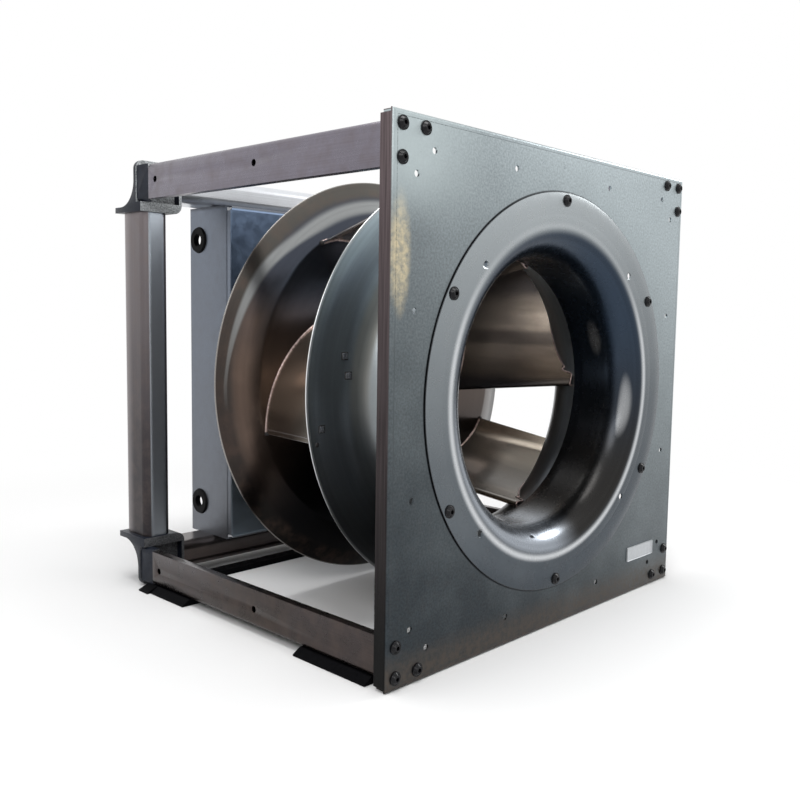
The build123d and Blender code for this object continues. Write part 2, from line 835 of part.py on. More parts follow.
# The first blade fills the space between shroud and disc, and its tabs go through the shroud
with BuildPart() as blade:
    for y in (loft_back, loft_front):
        with BuildSketch(across(y)):
            with BuildLine():
                blade_outline(y, 0)
            make_face()
    loft(ruled=True)
    for y in (loft_back, loft_front):
        with BuildSketch(across(y)):
            with BuildLine():
                blade_outline(y, blade_skin)
            make_face()
    loft(ruled=True, mode=Mode.SUBTRACT)
    with BuildSketch(Plane.XY):
        with BuildLine():
            shroud_line(weld_gap)
            back_disc_line(-weld_gap)
            Line(
                (shroud_rim_r, rim_y + weld_gap),
                (back_rim_r, seat_y + back_rim_rise - weld_gap),
            )
            Polyline(
                (hub_bore_r, hub_y - weld_gap),
                (hub_bore_r, bell_y),
                (shroud_neck_r - weld_gap, bell_y),
            )
        make_face()
    revolve(axis=Axis.Y, mode=Mode.INTERSECT)
    for plane in tab_planes:
        with BuildSketch(plane):
            Rectangle(tab_width, blade_skin)
        extrude(amount=tab_length)

for number in range(blade_count):
    with BuildPart() as turned_blade:
        add(blade.part.rotate(Axis.Y, number * 360 / blade_count))
    keep(turned_blade, f"blade_{number + 1}")

# Rotor of the motor, with its flange behind the back disc
with BuildPart() as rotor_cup:
    with BuildSketch(Plane.XY):
        with BuildLine():
            Polyline(
                (shaft_r + seat_play, rotor_front),
                (rotor_r, rotor_front),
                (rotor_r, disc_back),
                (rotor_flange_r, disc_back),
                (rotor_flange_r, disc_back + rotor_flange),
                (rotor_r, disc_back + rotor_flange),
                (rotor_r, rotor_back),
                (rotor_in_r, rotor_back),
                (rotor_in_r, rotor_front + rotor_nose_wall),
                (boss_r, rotor_front + rotor_nose_wall),
                (boss_r, front_bearing),
                (shaft_r + seat_play, front_bearing),
                close=True,
            )
        make_face()
    revolve(axis=Axis.Y)
    fillet(rotor_cup.edges().group_by(Axis.Y)[0].sort_by(SortBy.LENGTH)[-1], rotor_round)
    with BuildSketch(across(disc_back)):
        with PolarLocations(rotor_screw_r, rotor_screw_count):
            Circle((m6_d + port_play) / 2)
    extrude(amount=-rotor_flange, mode=Mode.SUBTRACT)
keep(rotor_cup, "rotor_cup")

with BuildPart() as rotor_screws:
    with Locations(across(hub_y)):
        with PolarLocations(rotor_screw_r, rotor_screw_count):
            add(button_m6)
keep(rotor_screws, "rotor_screws")

with BuildPart() as shaft:
    with BuildSketch(across(rotor_front)):
        Circle(shaft_r)
    extrude(amount=-shaft_length)
keep(shaft, "shaft")

with BuildPart() as magnets:
    with BuildSketch(across(stack_front - magnet_over)):
        Circle(rotor_in_r)
        Circle(rotor_in_r - magnet_thick, mode=Mode.SUBTRACT)
        with PolarLocations(rotor_in_r, magnet_count):
            Rectangle(4 * magnet_thick, magnet_gap, mode=Mode.SUBTRACT)
    extrude(amount=-(stack_length + 2 * magnet_over))
keep(magnets, "rotor_magnets")

# Two shielded ball bearings
bearing_fronts = (front_bearing, front_bearing + bearing_pitch)
race_r = bearing_r - bearing_outer_wall
with BuildPart() as outer_rings:
    for front in bearing_fronts:
        with BuildSketch(Plane.XY):
            with Locations((race_r, front)):
                Rectangle(bearing_outer_wall, bearing_width, align=(Align.MIN, Align.MIN))
            shield_in = bearing_inner_r + shield_gap
            with Locations((shield_in, front), (shield_in, front + bearing_width - shield)):
                Rectangle(race_r - shield_in, shield, align=(Align.MIN, Align.MIN))
        revolve(axis=Axis.Y)
keep(outer_rings, "bearing_outer_rings")

with BuildPart() as inner_rings:
    for front in bearing_fronts:
        with BuildSketch(across(front)):
            Circle(bearing_inner_r)
            Circle(shaft_r + seat_play, mode=Mode.SUBTRACT)
        extrude(amount=-bearing_width)
keep(inner_rings, "bearing_inner_rings")

with BuildPart() as ball_cages:
    for front in bearing_fronts:
        middle = front + bearing_width / 2
        with BuildSketch(across(middle)):
            Circle(ball_pitch_r + cage_width / 2)
            Circle(ball_pitch_r - cage_width / 2, mode=Mode.SUBTRACT)
        extrude(amount=cage_width / 2, both=True)
        with Locations(across(middle)):
            with PolarLocations(ball_pitch_r, ball_count):
                Sphere(ball_r)
keep(ball_cages, "bearing_ball_cages")

# Stator stack with its windings
slot_middle = stator_r - tooth_tip - slot_depth / 2
with BuildPart() as stator_stack:
    with BuildSketch(across(stack_front)):
        Circle(stator_r)
        Circle(tube_out_r + seat_play, mode=Mode.SUBTRACT)
        with PolarLocations(slot_middle, slot_count):
            Rectangle(slot_depth, slot_width, mode=Mode.SUBTRACT)
        with PolarLocations(stator_r, slot_count):
            Rectangle(4 * tooth_tip, slot_mouth, mode=Mode.SUBTRACT)
    extrude(amount=-stack_length)
keep(stator_stack, "stator_stack")

with BuildPart() as windings:
    with BuildSketch(across(stack_front - coil_play - coil_end)):
        with PolarLocations(slot_middle, slot_count):
            Rectangle(slot_depth - 2 * coil_play, slot_width - 2 * coil_play)
    extrude(amount=-(stack_length + 2 * coil_play + 2 * coil_end))
    for start in (stack_front - coil_play - coil_end, stack_front + stack_length + coil_play):
        with BuildSketch(across(start)):
            Circle(slot_middle + slot_depth / 2 - coil_play)
            Circle(slot_middle - slot_depth / 2 + coil_play, mode=Mode.SUBTRACT)
        extrude(amount=-coil_end)
keep(windings, "stator_windings")

# Stator housing: bearing tube, disc, ribbed neck and mounting flange in one casting
flange_front = pan_front - mount_flange
neck_in_r = neck_r - neck_wall
disc_rear = disc_front + stator_disc
with BuildPart() as stator_housing:
    with BuildSketch(Plane.XY):
        with BuildLine():
            Polyline(
                (tube_bore_r, front_bearing - tube_lead),
                (tube_out_r, front_bearing - tube_lead),
                (tube_out_r, disc_front),
                (stator_disc_r, disc_front),
                (stator_disc_r, disc_rear),
                (neck_r, disc_rear),
                (neck_r, flange_front),
                (mount_flange_r, flange_front),
                (mount_flange_r, pan_front),
                (neck_in_r, pan_front),
                (neck_in_r, disc_rear),
                (0, disc_rear),
                (0, disc_front),
                (tube_bore_r, disc_front),
                close=True,
            )
        make_face()
    revolve(axis=Axis.Y)
    rib_length = stator_disc_r - rib_inset - neck_in_r
    with BuildSketch(across(disc_rear)):
        with PolarLocations(neck_in_r + rib_length / 2, rib_count):
            Rectangle(rib_length, rib_thick)
    extrude(amount=-(flange_front - disc_rear))
    with BuildSketch(across(flange_front)):
        with PolarLocations(mount_bolt_r, mount_bolt_count):
            Circle((m8_d + port_play) / 2)
    extrude(amount=-mount_flange, mode=Mode.SUBTRACT)
    with BuildSketch(across(disc_front)):
        with PolarLocations(wire_hole_r, wire_hole_count):
            Circle(wire_hole_d / 2)
    extrude(amount=-stator_disc, mode=Mode.SUBTRACT)
keep(stator_housing, "stator_housing")

with BuildPart() as motor_screws:
    with Locations(facing_back(pan_back)):
        with PolarLocations(mount_bolt_r, mount_bolt_count):
            add(short_m8)
keep(motor_screws, "motor_screws")

# Electronics housing in the pan's open back
box_back = pan_back + box_depth
board_front = pan_back + box_wall + post_height
with BuildPart() as electronics_housing:
    with BuildSketch(across(pan_back)):
        RectangleRounded(box_side, box_side, box_round)
    extrude(amount=-box_depth)
    with BuildSketch(across(pan_back + box_wall)):
        RectangleRounded(box_side - 2 * box_wall, box_side - 2 * box_wall, box_round - box_wall)
    extrude(amount=-box_depth, mode=Mode.SUBTRACT)
    with BuildSketch(across(pan_back)):
        with Locations(*four_ways(box_boss_at, box_boss_at)):
            Circle(box_boss_r)
    extrude(amount=-box_depth)
    with BuildSketch(across(pan_back)):
        with Locations(*four_ways(post_at, post_at)):
            Circle(post_r)
    extrude(amount=-(box_wall + post_height))
    with BuildSketch(across(pan_back)):
        Circle(box_wire_r)
    extrude(amount=-box_wall, mode=Mode.SUBTRACT)
    with BuildSketch(facing_back(box_back)):
        with Locations(*four_ways(box_boss_at, box_boss_at)):
            Circle((m6_d + port_play) / 2)
    extrude(amount=-2 * m6_length, mode=Mode.SUBTRACT)
    gland_y = pan_back + box_depth / 2
    with BuildSketch(Plane.XY.offset(-box_side / 2)):
        with Locations((0, gland_y)):
            with GridLocations(gland_pitch, 1, gland_count, 1):
                Circle((gland_thread_d + port_play) / 2)
    extrude(amount=box_wall, mode=Mode.SUBTRACT)
keep(electronics_housing, "electronics_housing")

with BuildPart() as control_board:
    with BuildSketch(across(board_front)):
        Rectangle(board_side, board_side)
    extrude(amount=-board_thick)
    with BuildSketch(across(board_front + board_thick)):
        with Locations((0, capacitor_rise)):
            with GridLocations(capacitor_pitch, 1, capacitor_count, 1):
                Circle(capacitor_d / 2)
    extrude(amount=-capacitor_length)
keep(control_board, "control_board")

with BuildPart() as electronics_cover:
    with BuildSketch(across(box_back)):
        RectangleRounded(box_side, box_side, box_round)
        with Locations(*four_ways(box_boss_at, box_boss_at)):
            Circle(m6_hole_d / 2, mode=Mode.SUBTRACT)
    extrude(amount=-lid_thick)
    with BuildSketch(across(box_back + lid_thick)):
        with GridLocations(fin_pitch, 1, fin_count, 1):
            Rectangle(fin_thick, fin_length)
    extrude(amount=-fin_height)
keep(electronics_cover, "electronics_cover")

with BuildPart() as cover_screws:
    with Locations(facing_back(box_back + lid_thick)):
        with Locations(*four_ways(box_boss_at, box_boss_at)):
            add(button_m6)
keep(cover_screws, "cover_screws")

with BuildPart() as cable_glands:
    with BuildSketch(Plane.XY.offset(-box_side / 2)):
        with Locations((0, gland_y)):
            with GridLocations(gland_pitch, 1, gland_count, 1):
                RegularPolygon(gland_width / 2, 6, major_radius=False)
    extrude(amount=-gland_nut)
    with BuildSketch(Plane.XY.offset(-box_side / 2 + box_wall)):
        with Locations((0, gland_y)):
            with GridLocations(gland_pitch, 1, gland_count, 1):
                Circle(gland_thread_d / 2)
    extrude(amount=-box_wall)
    with BuildSketch(Plane.XY.offset(-box_side / 2 - gland_nut)):
        with Locations((0, gland_y)):
            with GridLocations(gland_pitch, 1, gland_count, 1):
                Circle(gland_d / 2)
    extrude(amount=-gland_length, taper=gland_taper)
keep(cable_glands, "cable_glands")
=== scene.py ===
# %% [markdown]
# # Plug fan
# The frame holds every piece of the fan from the construction model, in metres. Its origin is the
# centre of the inlet on the plate's front face, X runs right, Y with the air and Z up. The box of the
# frame is kept now.

# %% Load the frame
import math

import bpy
from mathutils import Matrix, Vector


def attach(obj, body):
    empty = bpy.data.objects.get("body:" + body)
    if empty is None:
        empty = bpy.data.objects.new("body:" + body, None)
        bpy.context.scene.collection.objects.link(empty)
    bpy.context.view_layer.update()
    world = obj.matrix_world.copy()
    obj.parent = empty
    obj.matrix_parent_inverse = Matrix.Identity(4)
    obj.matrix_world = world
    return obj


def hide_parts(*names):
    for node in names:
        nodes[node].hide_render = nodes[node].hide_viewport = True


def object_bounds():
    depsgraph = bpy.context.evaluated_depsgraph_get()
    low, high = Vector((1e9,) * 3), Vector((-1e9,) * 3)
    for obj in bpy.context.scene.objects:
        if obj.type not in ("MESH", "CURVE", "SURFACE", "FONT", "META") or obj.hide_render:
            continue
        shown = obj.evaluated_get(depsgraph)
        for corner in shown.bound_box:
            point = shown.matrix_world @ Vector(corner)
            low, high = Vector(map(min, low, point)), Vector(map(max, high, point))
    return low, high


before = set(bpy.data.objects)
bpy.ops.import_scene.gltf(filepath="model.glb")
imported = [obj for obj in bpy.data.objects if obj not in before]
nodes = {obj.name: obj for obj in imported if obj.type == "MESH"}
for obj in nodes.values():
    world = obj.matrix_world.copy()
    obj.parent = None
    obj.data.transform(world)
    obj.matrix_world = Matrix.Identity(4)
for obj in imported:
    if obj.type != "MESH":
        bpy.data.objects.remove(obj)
cad_low, cad_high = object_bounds()
print("pieces", len(nodes))

# %% [markdown]
# ## Camera
# A photograph is matched by a camera at the same place with the same lens. The small shift puts the
# fan where it lies in the picture, and depth of field stays off.

# %% Camera
camera_place = Vector((-1.0800, -0.7476, 0.1161))
azimuth, elevation, roll = math.radians(-47.675), math.radians(5.327), math.radians(1.113)
picture_side, focal_pixels, sensor = 800, 888.19, 36.0
shift_pixels = (-41.37, -5.42)

looking = -Vector((
    math.sin(azimuth) * math.cos(elevation),
    -math.cos(azimuth) * math.cos(elevation),
    math.sin(elevation),
))
level_right = looking.cross(Vector((0, 0, 1))).normalized()
level_up = level_right.cross(looking)
right = level_right * math.cos(roll) + level_up * math.sin(roll)
up = level_up * math.cos(roll) - level_right * math.sin(roll)

camera_data = bpy.data.cameras.new("photo_camera")
camera_data.sensor_width = sensor
camera_data.lens = focal_pixels / picture_side * sensor
camera_data.shift_x = shift_pixels[0] / picture_side
camera_data.shift_y = shift_pixels[1] / picture_side
camera_data.clip_start, camera_data.clip_end = 0.01, 50
camera = bpy.data.objects.new("photo_camera", camera_data)
bpy.context.collection.objects.link(camera)
turn = Matrix((right, up, -looking)).transposed()
camera.matrix_world = Matrix.Translation(camera_place) @ turn.to_4x4()
bpy.context.scene.camera = camera
print("lens", round(camera_data.lens, 2), "mm")

# %% [markdown]
# ## Node helpers
# Materials and the studio are node trees. A few short helpers add a node, join two sockets and do sums,
# so that each tree below reads as a recipe.

# %% Nodes, sums and runs
def node(tree, kind, **settings):
    """A new node; a setting is an attribute, or an input's value by its name with _ for a space."""
    made = tree.nodes.new(kind)
    for key, value in settings.items():
        if hasattr(made, key):
            setattr(made, key, value)
        else:
            made.inputs[key.replace("_", " ")].default_value = value
    return made


def wire(tree, source, target):
    tree.links.new(source, target)


def feed(tree, value, target):
    """A socket or a plain value into an input."""
    if isinstance(value, (int, float)):
        target.default_value = value
    elif isinstance(value, tuple):
        target.default_value = (*value, 1)
    else:
        wire(tree, value, target)


def maths(tree, operation, *values):
    """A Math node on sockets or numbers; gives its output."""
    made = node(tree, "ShaderNodeMath", operation=operation)
    for place, value in enumerate(values):
        feed(tree, value, made.inputs[place])
    return made.outputs[0]


def times(tree, first, second):
    return maths(tree, "MULTIPLY", first, second)


def grade(tree, socket, low, high, start=0.0, end=1.0, kind="LINEAR"):
    """A value run from start..end to low..high, and held there."""
    made = node(tree, "ShaderNodeMapRange", interpolation_type=kind)
    for label, value in (("Value", socket), ("From Min", start), ("From Max", end),
                         ("To Min", low), ("To Max", high)):
        feed(tree, value, made.inputs[label])
    return made.outputs[0]


def rising(tree, socket, start, end, top=1.0):
    """0 up to start, then softly up to top at end."""
    return grade(tree, socket, 0.0, top, start, end, "SMOOTHSTEP")


def falling(tree, socket, start, end, top=1.0):
    """The top up to start, then softly down to 0 at end."""
    return grade(tree, socket, top, 0.0, start, end, "SMOOTHSTEP")


def band(tree, value, middle, half):
    """1 where a value is within half of a middle, with soft ends."""
    off = maths(tree, "ABSOLUTE", maths(tree, "SUBTRACT", value, middle))
    return falling(tree, off, half * 0.6, half * 1.4)


def patch(tree, *spans):
    """1 in the middle of an oval patch, soft to 0 at its edge; a span is (value, middle, half)."""
    total = 0.0
    for value, middle, half in spans:
        off = maths(tree, "DIVIDE", maths(tree, "SUBTRACT", value, middle), half)
        total = maths(tree, "MULTIPLY_ADD", off, off, total)
    return falling(tree, total, 0.0, 1.0)


# %% Colours, groups and places
def blend_colour(tree, factor, first, second, mode="MIX"):
    """Mix of two colours or sockets by a factor; gives the colour output."""
    made = node(tree, "ShaderNodeMix", data_type="RGBA", blend_type=mode)
    for place, value in ((0, factor), (6, first), (7, second)):
        feed(tree, value, made.inputs[place])
    return made.outputs[2]


def dim(tree, colour, amount):
    """A colour times a grey value from a socket."""
    grey = node(tree, "ShaderNodeCombineColor")
    for index in range(3):
        feed(tree, amount, grey.inputs[index])
    return blend_colour(tree, 1.0, colour, grey.outputs[0], "MULTIPLY")


def group(name, inputs, outputs):
    """An empty node group with named number inputs and outputs."""
    tree = bpy.data.node_groups.new(name, "ShaderNodeTree")
    for label, default in inputs.items():
        socket = tree.interface.new_socket(label, in_out="INPUT", socket_type="NodeSocketFloat")
        socket.default_value = default
    for label in outputs:
        tree.interface.new_socket(label, in_out="OUTPUT", socket_type="NodeSocketFloat")
    return tree, tree.nodes.new("NodeGroupInput").outputs, tree.nodes.new("NodeGroupOutput").inputs


def use_group(tree, source, **values):
    made = tree.nodes.new("ShaderNodeGroup")
    made.node_tree = source
    for key, value in values.items():
        made.inputs[key.replace("_", " ")].default_value = value
    return made.outputs


def object_place(tree):
    """The Object place as a vector."""
    return node(tree, "ShaderNodeTexCoord").outputs["Object"]


def object_axes(tree):
    """X, Y and Z of the Object place."""
    axes = node(tree, "ShaderNodeSeparateXYZ")
    wire(tree, object_place(tree), axes.inputs[0])
    return tuple(axes.outputs)


def noise(tree, vector, **settings):
    """A noise texture over a vector; gives its grey value."""
    texture = node(tree, "ShaderNodeTexNoise", **settings)
    wire(tree, vector, texture.inputs["Vector"])
    return texture.outputs["Fac"]


def blank_material(name, metallic=0.0):
    """A new material, its tree and its shader."""
    material = bpy.data.materials.new(name)
    material.use_nodes = True
    shader = material.node_tree.nodes["Principled BSDF"]
    shader.inputs["Metallic"].default_value = metallic
    return material, material.node_tree, shader


# %% [markdown]
# ## Studio
# The floor is pale and the light is soft: one broad lamp above and one on each side. Near the fan the
# floor is plain matt white and takes its shadow; further out it fades into the white of the world, so
# no horizon shows. The camera and the reflections see that white at a strength of one.

# %% Floor
floor_side, floor_drop = 24, 0.0005
floor_white, floor_rough = (0.93, 0.93, 0.93, 1), 0.7
fade_from, fade_to = 0.55, 1.5


def seen_directly(tree):
    """1 for camera, mirror and glass rays, 0 for the light that falls on things."""
    path = node(tree, "ShaderNodeLightPath").outputs
    either = maths(tree, "MAXIMUM", path["Is Camera Ray"], path["Is Glossy Ray"])
    return maths(tree, "MAXIMUM", either, path["Is Transmission Ray"])


bpy.ops.mesh.primitive_plane_add(size=floor_side, location=(0, 0.3, cad_low.z - floor_drop))
floor = bpy.context.object
floor.name = "studio_floor"
floor_material, floor_tree, floor_shader = blank_material("studio_floor")
floor_shader.inputs["Base Color"].default_value = floor_white
floor_shader.inputs["Roughness"].default_value = floor_rough
floor_shader.inputs["Specular IOR Level"].default_value = 0.0
floor.data.materials.append(floor_material)

white = node(floor_tree, "ShaderNodeEmission", Strength=1.0)
away = node(floor_tree, "ShaderNodeVectorMath", operation="LENGTH")
wire(floor_tree, object_place(floor_tree), away.inputs[0])
far = rising(floor_tree, away.outputs["Value"], fade_from, fade_to)
fade = node(floor_tree, "ShaderNodeMixShader")
wire(floor_tree, times(floor_tree, far, seen_directly(floor_tree)), fade.inputs[0])
wire(floor_tree, floor_shader.outputs[0], fade.inputs[1])
wire(floor_tree, white.outputs[0], fade.inputs[2])
wire(floor_tree, fade.outputs[0], floor_tree.nodes["Material Output"].inputs["Surface"])
print("floor at", round(floor.location.z, 4))

# %% World and lamps
world = bpy.data.worlds.new("studio")
bpy.context.scene.world = world
world.use_nodes = True
world_tree = world.node_tree
world_tree.nodes.clear()
world_out = world_tree.nodes.new("ShaderNodeOutputWorld")
soft = node(world_tree, "ShaderNodeBackground", Color=(1, 1, 1, 1), Strength=0.5)
seen = node(world_tree, "ShaderNodeBackground", Color=(1, 1, 1, 1), Strength=1.0)
mix = world_tree.nodes.new("ShaderNodeMixShader")
wire(world_tree, seen_directly(world_tree), mix.inputs[0])
wire(world_tree, soft.outputs[0], mix.inputs[1])
wire(world_tree, seen.outputs[0], mix.inputs[2])
wire(world_tree, mix.outputs[0], world_out.inputs["Surface"])


def soft_lamp(name, place, target, size, watts):
    """A round lamp that looks from a place to a target."""
    lamp = bpy.data.lights.new(name, "AREA")
    lamp.shape = "DISK"
    lamp.size = size
    lamp.energy = watts
    holder = bpy.data.objects.new(name, lamp)
    holder.location = place
    holder.rotation_euler = (Vector(target) - Vector(place)).to_track_quat("-Z", "Y").to_euler()
    bpy.context.collection.objects.link(holder)


soft_lamp("lamp_above", (-0.3, 0.2, 2.3), (0, 0.3, 0), 1.8, 46)
soft_lamp("lamp_left", (-2.0, -0.9, 1.5), (0, 0.3, 0), 1.2, 16)
soft_lamp("lamp_right", (1.8, -0.45, 1.15), (0, 0, 0), 0.7, 12)
print("lamps", len(bpy.data.lights))

# %% [markdown]
# ## Shared effects
# Sheet metal and castings show the same few effects at different sizes: a fine zinc grain, faint rolling
# lines, blotches where hands and weather have been, and a tone of painted light and shade that darkens
# towards the ground. Each is a node group, so a material only chooses its amounts. The groups read Object
# coordinates, which are the frame's own metres, so the patterns stay on the metal at any pose.

# %% Zinc grain, blotches of a hand's size, and specks
grain_tree, grain_in, grain_out = group(
    "zinc_grain", {"Grain size": 0.0025, "Blotch size": 0.09}, ("Grain", "Blotch", "Speck"))
place = object_place(grain_tree)
for label, source, ratio, detail, rough in (
        ("Grain", "Grain size", 1.0, 2.0, 0.6), ("Blotch", "Blotch size", 1.0, 3.0, 0.5),
        ("Speck", "Blotch size", 7.0, 5.0, 0.65)):
    value = noise(grain_tree, place, Detail=detail, Roughness=rough)
    wire(grain_tree, maths(grain_tree, "DIVIDE", ratio, grain_in[source]), value.node.inputs["Scale"])
    wire(grain_tree, value, grain_out[label])

# %% Tone of painted light and shade: from 0 to 1 along a direction, with a wavering edge
tone_tree, tone_in, tone_out = group(
    "painted_light_tone",
    {"Right": 0.0, "Back": 0.0, "Up": 1.0, "Low": -0.35, "High": 0.35, "Waver": 0.1, "Curve": 1.0},
    ("Tone",))
waver = noise(tone_tree, object_place(tone_tree), Scale=3.0, Detail=2.0)
total = times(tone_tree, maths(tone_tree, "SUBTRACT", waver, 0.5), tone_in["Waver"])
for label, axis in zip(("Right", "Back", "Up"), object_axes(tone_tree)):
    total = maths(tone_tree, "MULTIPLY_ADD", axis, tone_in[label], total)
steady = grade(tone_tree, total, 0.0, 1.0, tone_in["Low"], tone_in["High"])
wire(tone_tree, maths(tone_tree, "POWER", steady, tone_in["Curve"]), tone_out["Tone"])

# %% Drawn lines: fine streaks along one axis, as rolling, extruding or spinning leaves them
lines_tree, lines_in, lines_out = group(
    "drawn_lines", {"Across X": 900.0, "Across Y": 900.0, "Across Z": 900.0}, ("Line",))
stretch = node(lines_tree, "ShaderNodeCombineXYZ")
for index, label in enumerate(("Across X", "Across Y", "Across Z")):
    wire(lines_tree, lines_in[label], stretch.inputs[index])
scaled = node(lines_tree, "ShaderNodeVectorMath", operation="MULTIPLY")
wire(lines_tree, object_place(lines_tree), scaled.inputs[0])
wire(lines_tree, stretch.outputs[0], scaled.inputs[1])
wire(lines_tree, noise(lines_tree, scaled.outputs[0], Scale=1.0, Detail=3.0), lines_out["Line"])

# %% Turned place: radius from the fan's axis, and rings where a spinning tool has passed
ring_tree, ring_in, ring_out = group("turned_place", {"Ring pitch": 0.004}, ("Radius", "Ring"))
x, y, z = object_axes(ring_tree)
radius = maths(ring_tree, "SQRT", maths(ring_tree, "MULTIPLY_ADD", x, x, times(ring_tree, z, z)))
wire(ring_tree, radius, ring_out["Radius"])
spot = node(ring_tree, "ShaderNodeCombineXYZ")
wire(ring_tree, maths(ring_tree, "DIVIDE", radius, ring_in["Ring pitch"]), spot.inputs[0])
wire(ring_tree, maths(ring_tree, "DIVIDE", y, ring_in["Ring pitch"]), spot.inputs[1])
wire(ring_tree, noise(ring_tree, spot.outputs[0], Scale=1.0, Detail=2.0), ring_out["Ring"])
print("effects", len(bpy.data.node_groups))


def axis_radius(tree):
    return use_group(tree, ring_tree)["Radius"]


# %% [markdown]
# ## Metals
# One helper starts every metal. Its tone is painted light and shade, from a dark colour near the floor
# to a bright one at the top; its blotches shift colour and gloss, warm specks give the brown of handled
# steel, and its lines or grain give a fine bump. Plate, nozzle and impeller then get what only they show:
# painted shade at a bend line, a painted shadow gap, painted shade in the throat, and painted highlights
# and warm reflections on the spun steel.

# %% Metal helper
def finish_shader(tree, shader, colour, rough, height, strength, distance):
    """Colour, roughness and a bump of the height into a shader."""
    wire(tree, colour, shader.inputs["Base Color"])
    wire(tree, rough, shader.inputs["Roughness"])
    bump = node(tree, "ShaderNodeBump", Strength=strength, Distance=distance)
    wire(tree, height, bump.inputs["Height"])
    wire(tree, bump.outputs[0], shader.inputs["Normal"])


def metal(name, bright, dark, warm=(0.20, 0.13, 0.10), tone=None, grain=0.0025, grain_amount=0.12,
          blotch=0.09, blotch_amount=0.15, warm_amount=0.2, gloss=0.32, gloss_spread=0.08,
          metallic=0.9, lines=None, line_depth=0.15, extra=None):
    """A metal; extra is a function that paints what only one piece shows over its colour."""
    material, tree, shader = blank_material(name, metallic)
    zinc = use_group(tree, grain_tree, Grain_size=grain, Blotch_size=blotch)
    # Painted light and shade: the tone runs the colour from dark to bright along the direction each
    # material gives, mostly upwards
    shade = use_group(tree, tone_tree, **(tone or {}))["Tone"]
    spread = grade(tree, zinc["Blotch"], -blotch_amount, blotch_amount, 0.3, 0.7)
    colour = blend_colour(tree, maths(tree, "ADD", shade, spread), dark, bright)
    colour = blend_colour(tree, grade(tree, zinc["Speck"], 0.0, warm_amount, 0.45, 0.75), colour, warm)
    colour = dim(tree, colour, grade(tree, zinc["Grain"], 1 - grain_amount, 1 + grain_amount, 0.35, 0.65))
    height = zinc["Grain"]
    if lines:
        height = use_group(tree, lines_tree, Across_X=lines[0], Across_Y=lines[1],
                           Across_Z=lines[2])["Line"]
        colour = dim(tree, colour, grade(tree, height, 0.94, 1.06, 0.35, 0.65))
    if extra:
        colour = extra(tree, colour, zinc)
    rough = grade(tree, zinc["Speck"], gloss - gloss_spread, gloss + gloss_spread, 0.3, 0.7)
    finish_shader(tree, shader, colour, rough, height, line_depth, 0.0004)
    return material


# %% Plate: painted light, bright at the top left; a painted warm highlight at the left edge, a painted warm reflection along its foot, a painted shade line at the bend and a painted shadow gap
half_plate, bend_at, flange_r = 0.350, 0.0075, 0.290


def plate_marks(tree, colour, zinc):
    x, y, z = object_axes(tree)
    # Painted warm reflection along the foot of the plate, broken by specks
    foot = falling(tree, z, -0.335, -0.295, 0.75)
    foot = times(tree, foot, grade(tree, zinc["Speck"], 0.5, 1.0, 0.4, 0.6))
    colour = blend_colour(tree, foot, colour, (0.10, 0.080, 0.064))
    # Painted warm highlight high up near the left edge
    painted_sun_patch = patch(tree, (x, -0.336, 0.021), (z, 0.185, 0.085))
    painted_sun_patch = times(tree, painted_sun_patch, grade(tree, zinc["Speck"], 0.35, 0.95, 0.4, 0.6))
    colour = blend_colour(tree, painted_sun_patch, colour, (0.66, 0.57, 0.38))
    # Painted light at the top left of the plate
    painted_top_left_light = times(tree, falling(tree, x, -0.33, -0.15, 0.8), rising(tree, z, 0.20, 0.30))
    colour = blend_colour(tree, painted_top_left_light, colour, (0.50, 0.57, 0.58))
    edge = maths(tree, "MAXIMUM", maths(tree, "ABSOLUTE", x), maths(tree, "ABSOLUTE", z))
    rim = times(tree, grade(tree, edge, 0.0, 1.0, half_plate - 0.0016, half_plate - 0.0006),
                grade(tree, y, 0.0, 1.0, 0.0012, 0.0030))
    # The folded rim gets its own painted light and shade: near black low down, brighter at the top, with
    # streaks
    rim_shade = use_group(tree, tone_tree, Low=-0.30, High=0.38, Waver=0.08, Curve=1.3)["Tone"]
    streak = use_group(tree, lines_tree, Across_X=9.0, Across_Y=400.0, Across_Z=9.0)["Line"]
    rim_colour = dim(tree, blend_colour(tree, rim_shade, (0.005, 0.005, 0.005), (0.135, 0.105, 0.11)),
                     grade(tree, streak, 0.6, 1.4, 0.3, 0.7))
    colour = blend_colour(tree, rim, colour, rim_colour)
    # Painted shade line along the bend, broken by the grain
    painted_bend_shade = times(tree, band(tree, edge, half_plate - bend_at, 0.0005),
                 grade(tree, zinc["Grain"], 0.1, 0.8, 0.4, 0.6))
    colour = blend_colour(tree, painted_bend_shade, colour, (0.05, 0.055, 0.06))
    # Painted shadow round the nozzle's flange, darkest at the left
    painted_shadow_gap = times(tree, band(tree, axis_radius(tree), flange_r + 0.0006, 0.0013),
                grade(tree, x, 0.95, 0.35, -0.2, 0.25))
    return blend_colour(tree, painted_shadow_gap, colour, (0.008, 0.009, 0.012))


# Painted light and shade on the plate: dark near the floor, bright at the top and to the right
plate_zinc = metal("plate_zinc", (0.385, 0.44, 0.46), (0.034, 0.042, 0.048),
                   tone=dict(Right=0.45, Low=-0.40, High=0.36, Waver=0.06, Curve=1.5),
                   grain=0.0032, grain_amount=0.16, blotch=0.07, blotch_amount=0.04,
                   warm_amount=0.04, gloss=0.34, line_depth=0.25, extra=plate_marks)
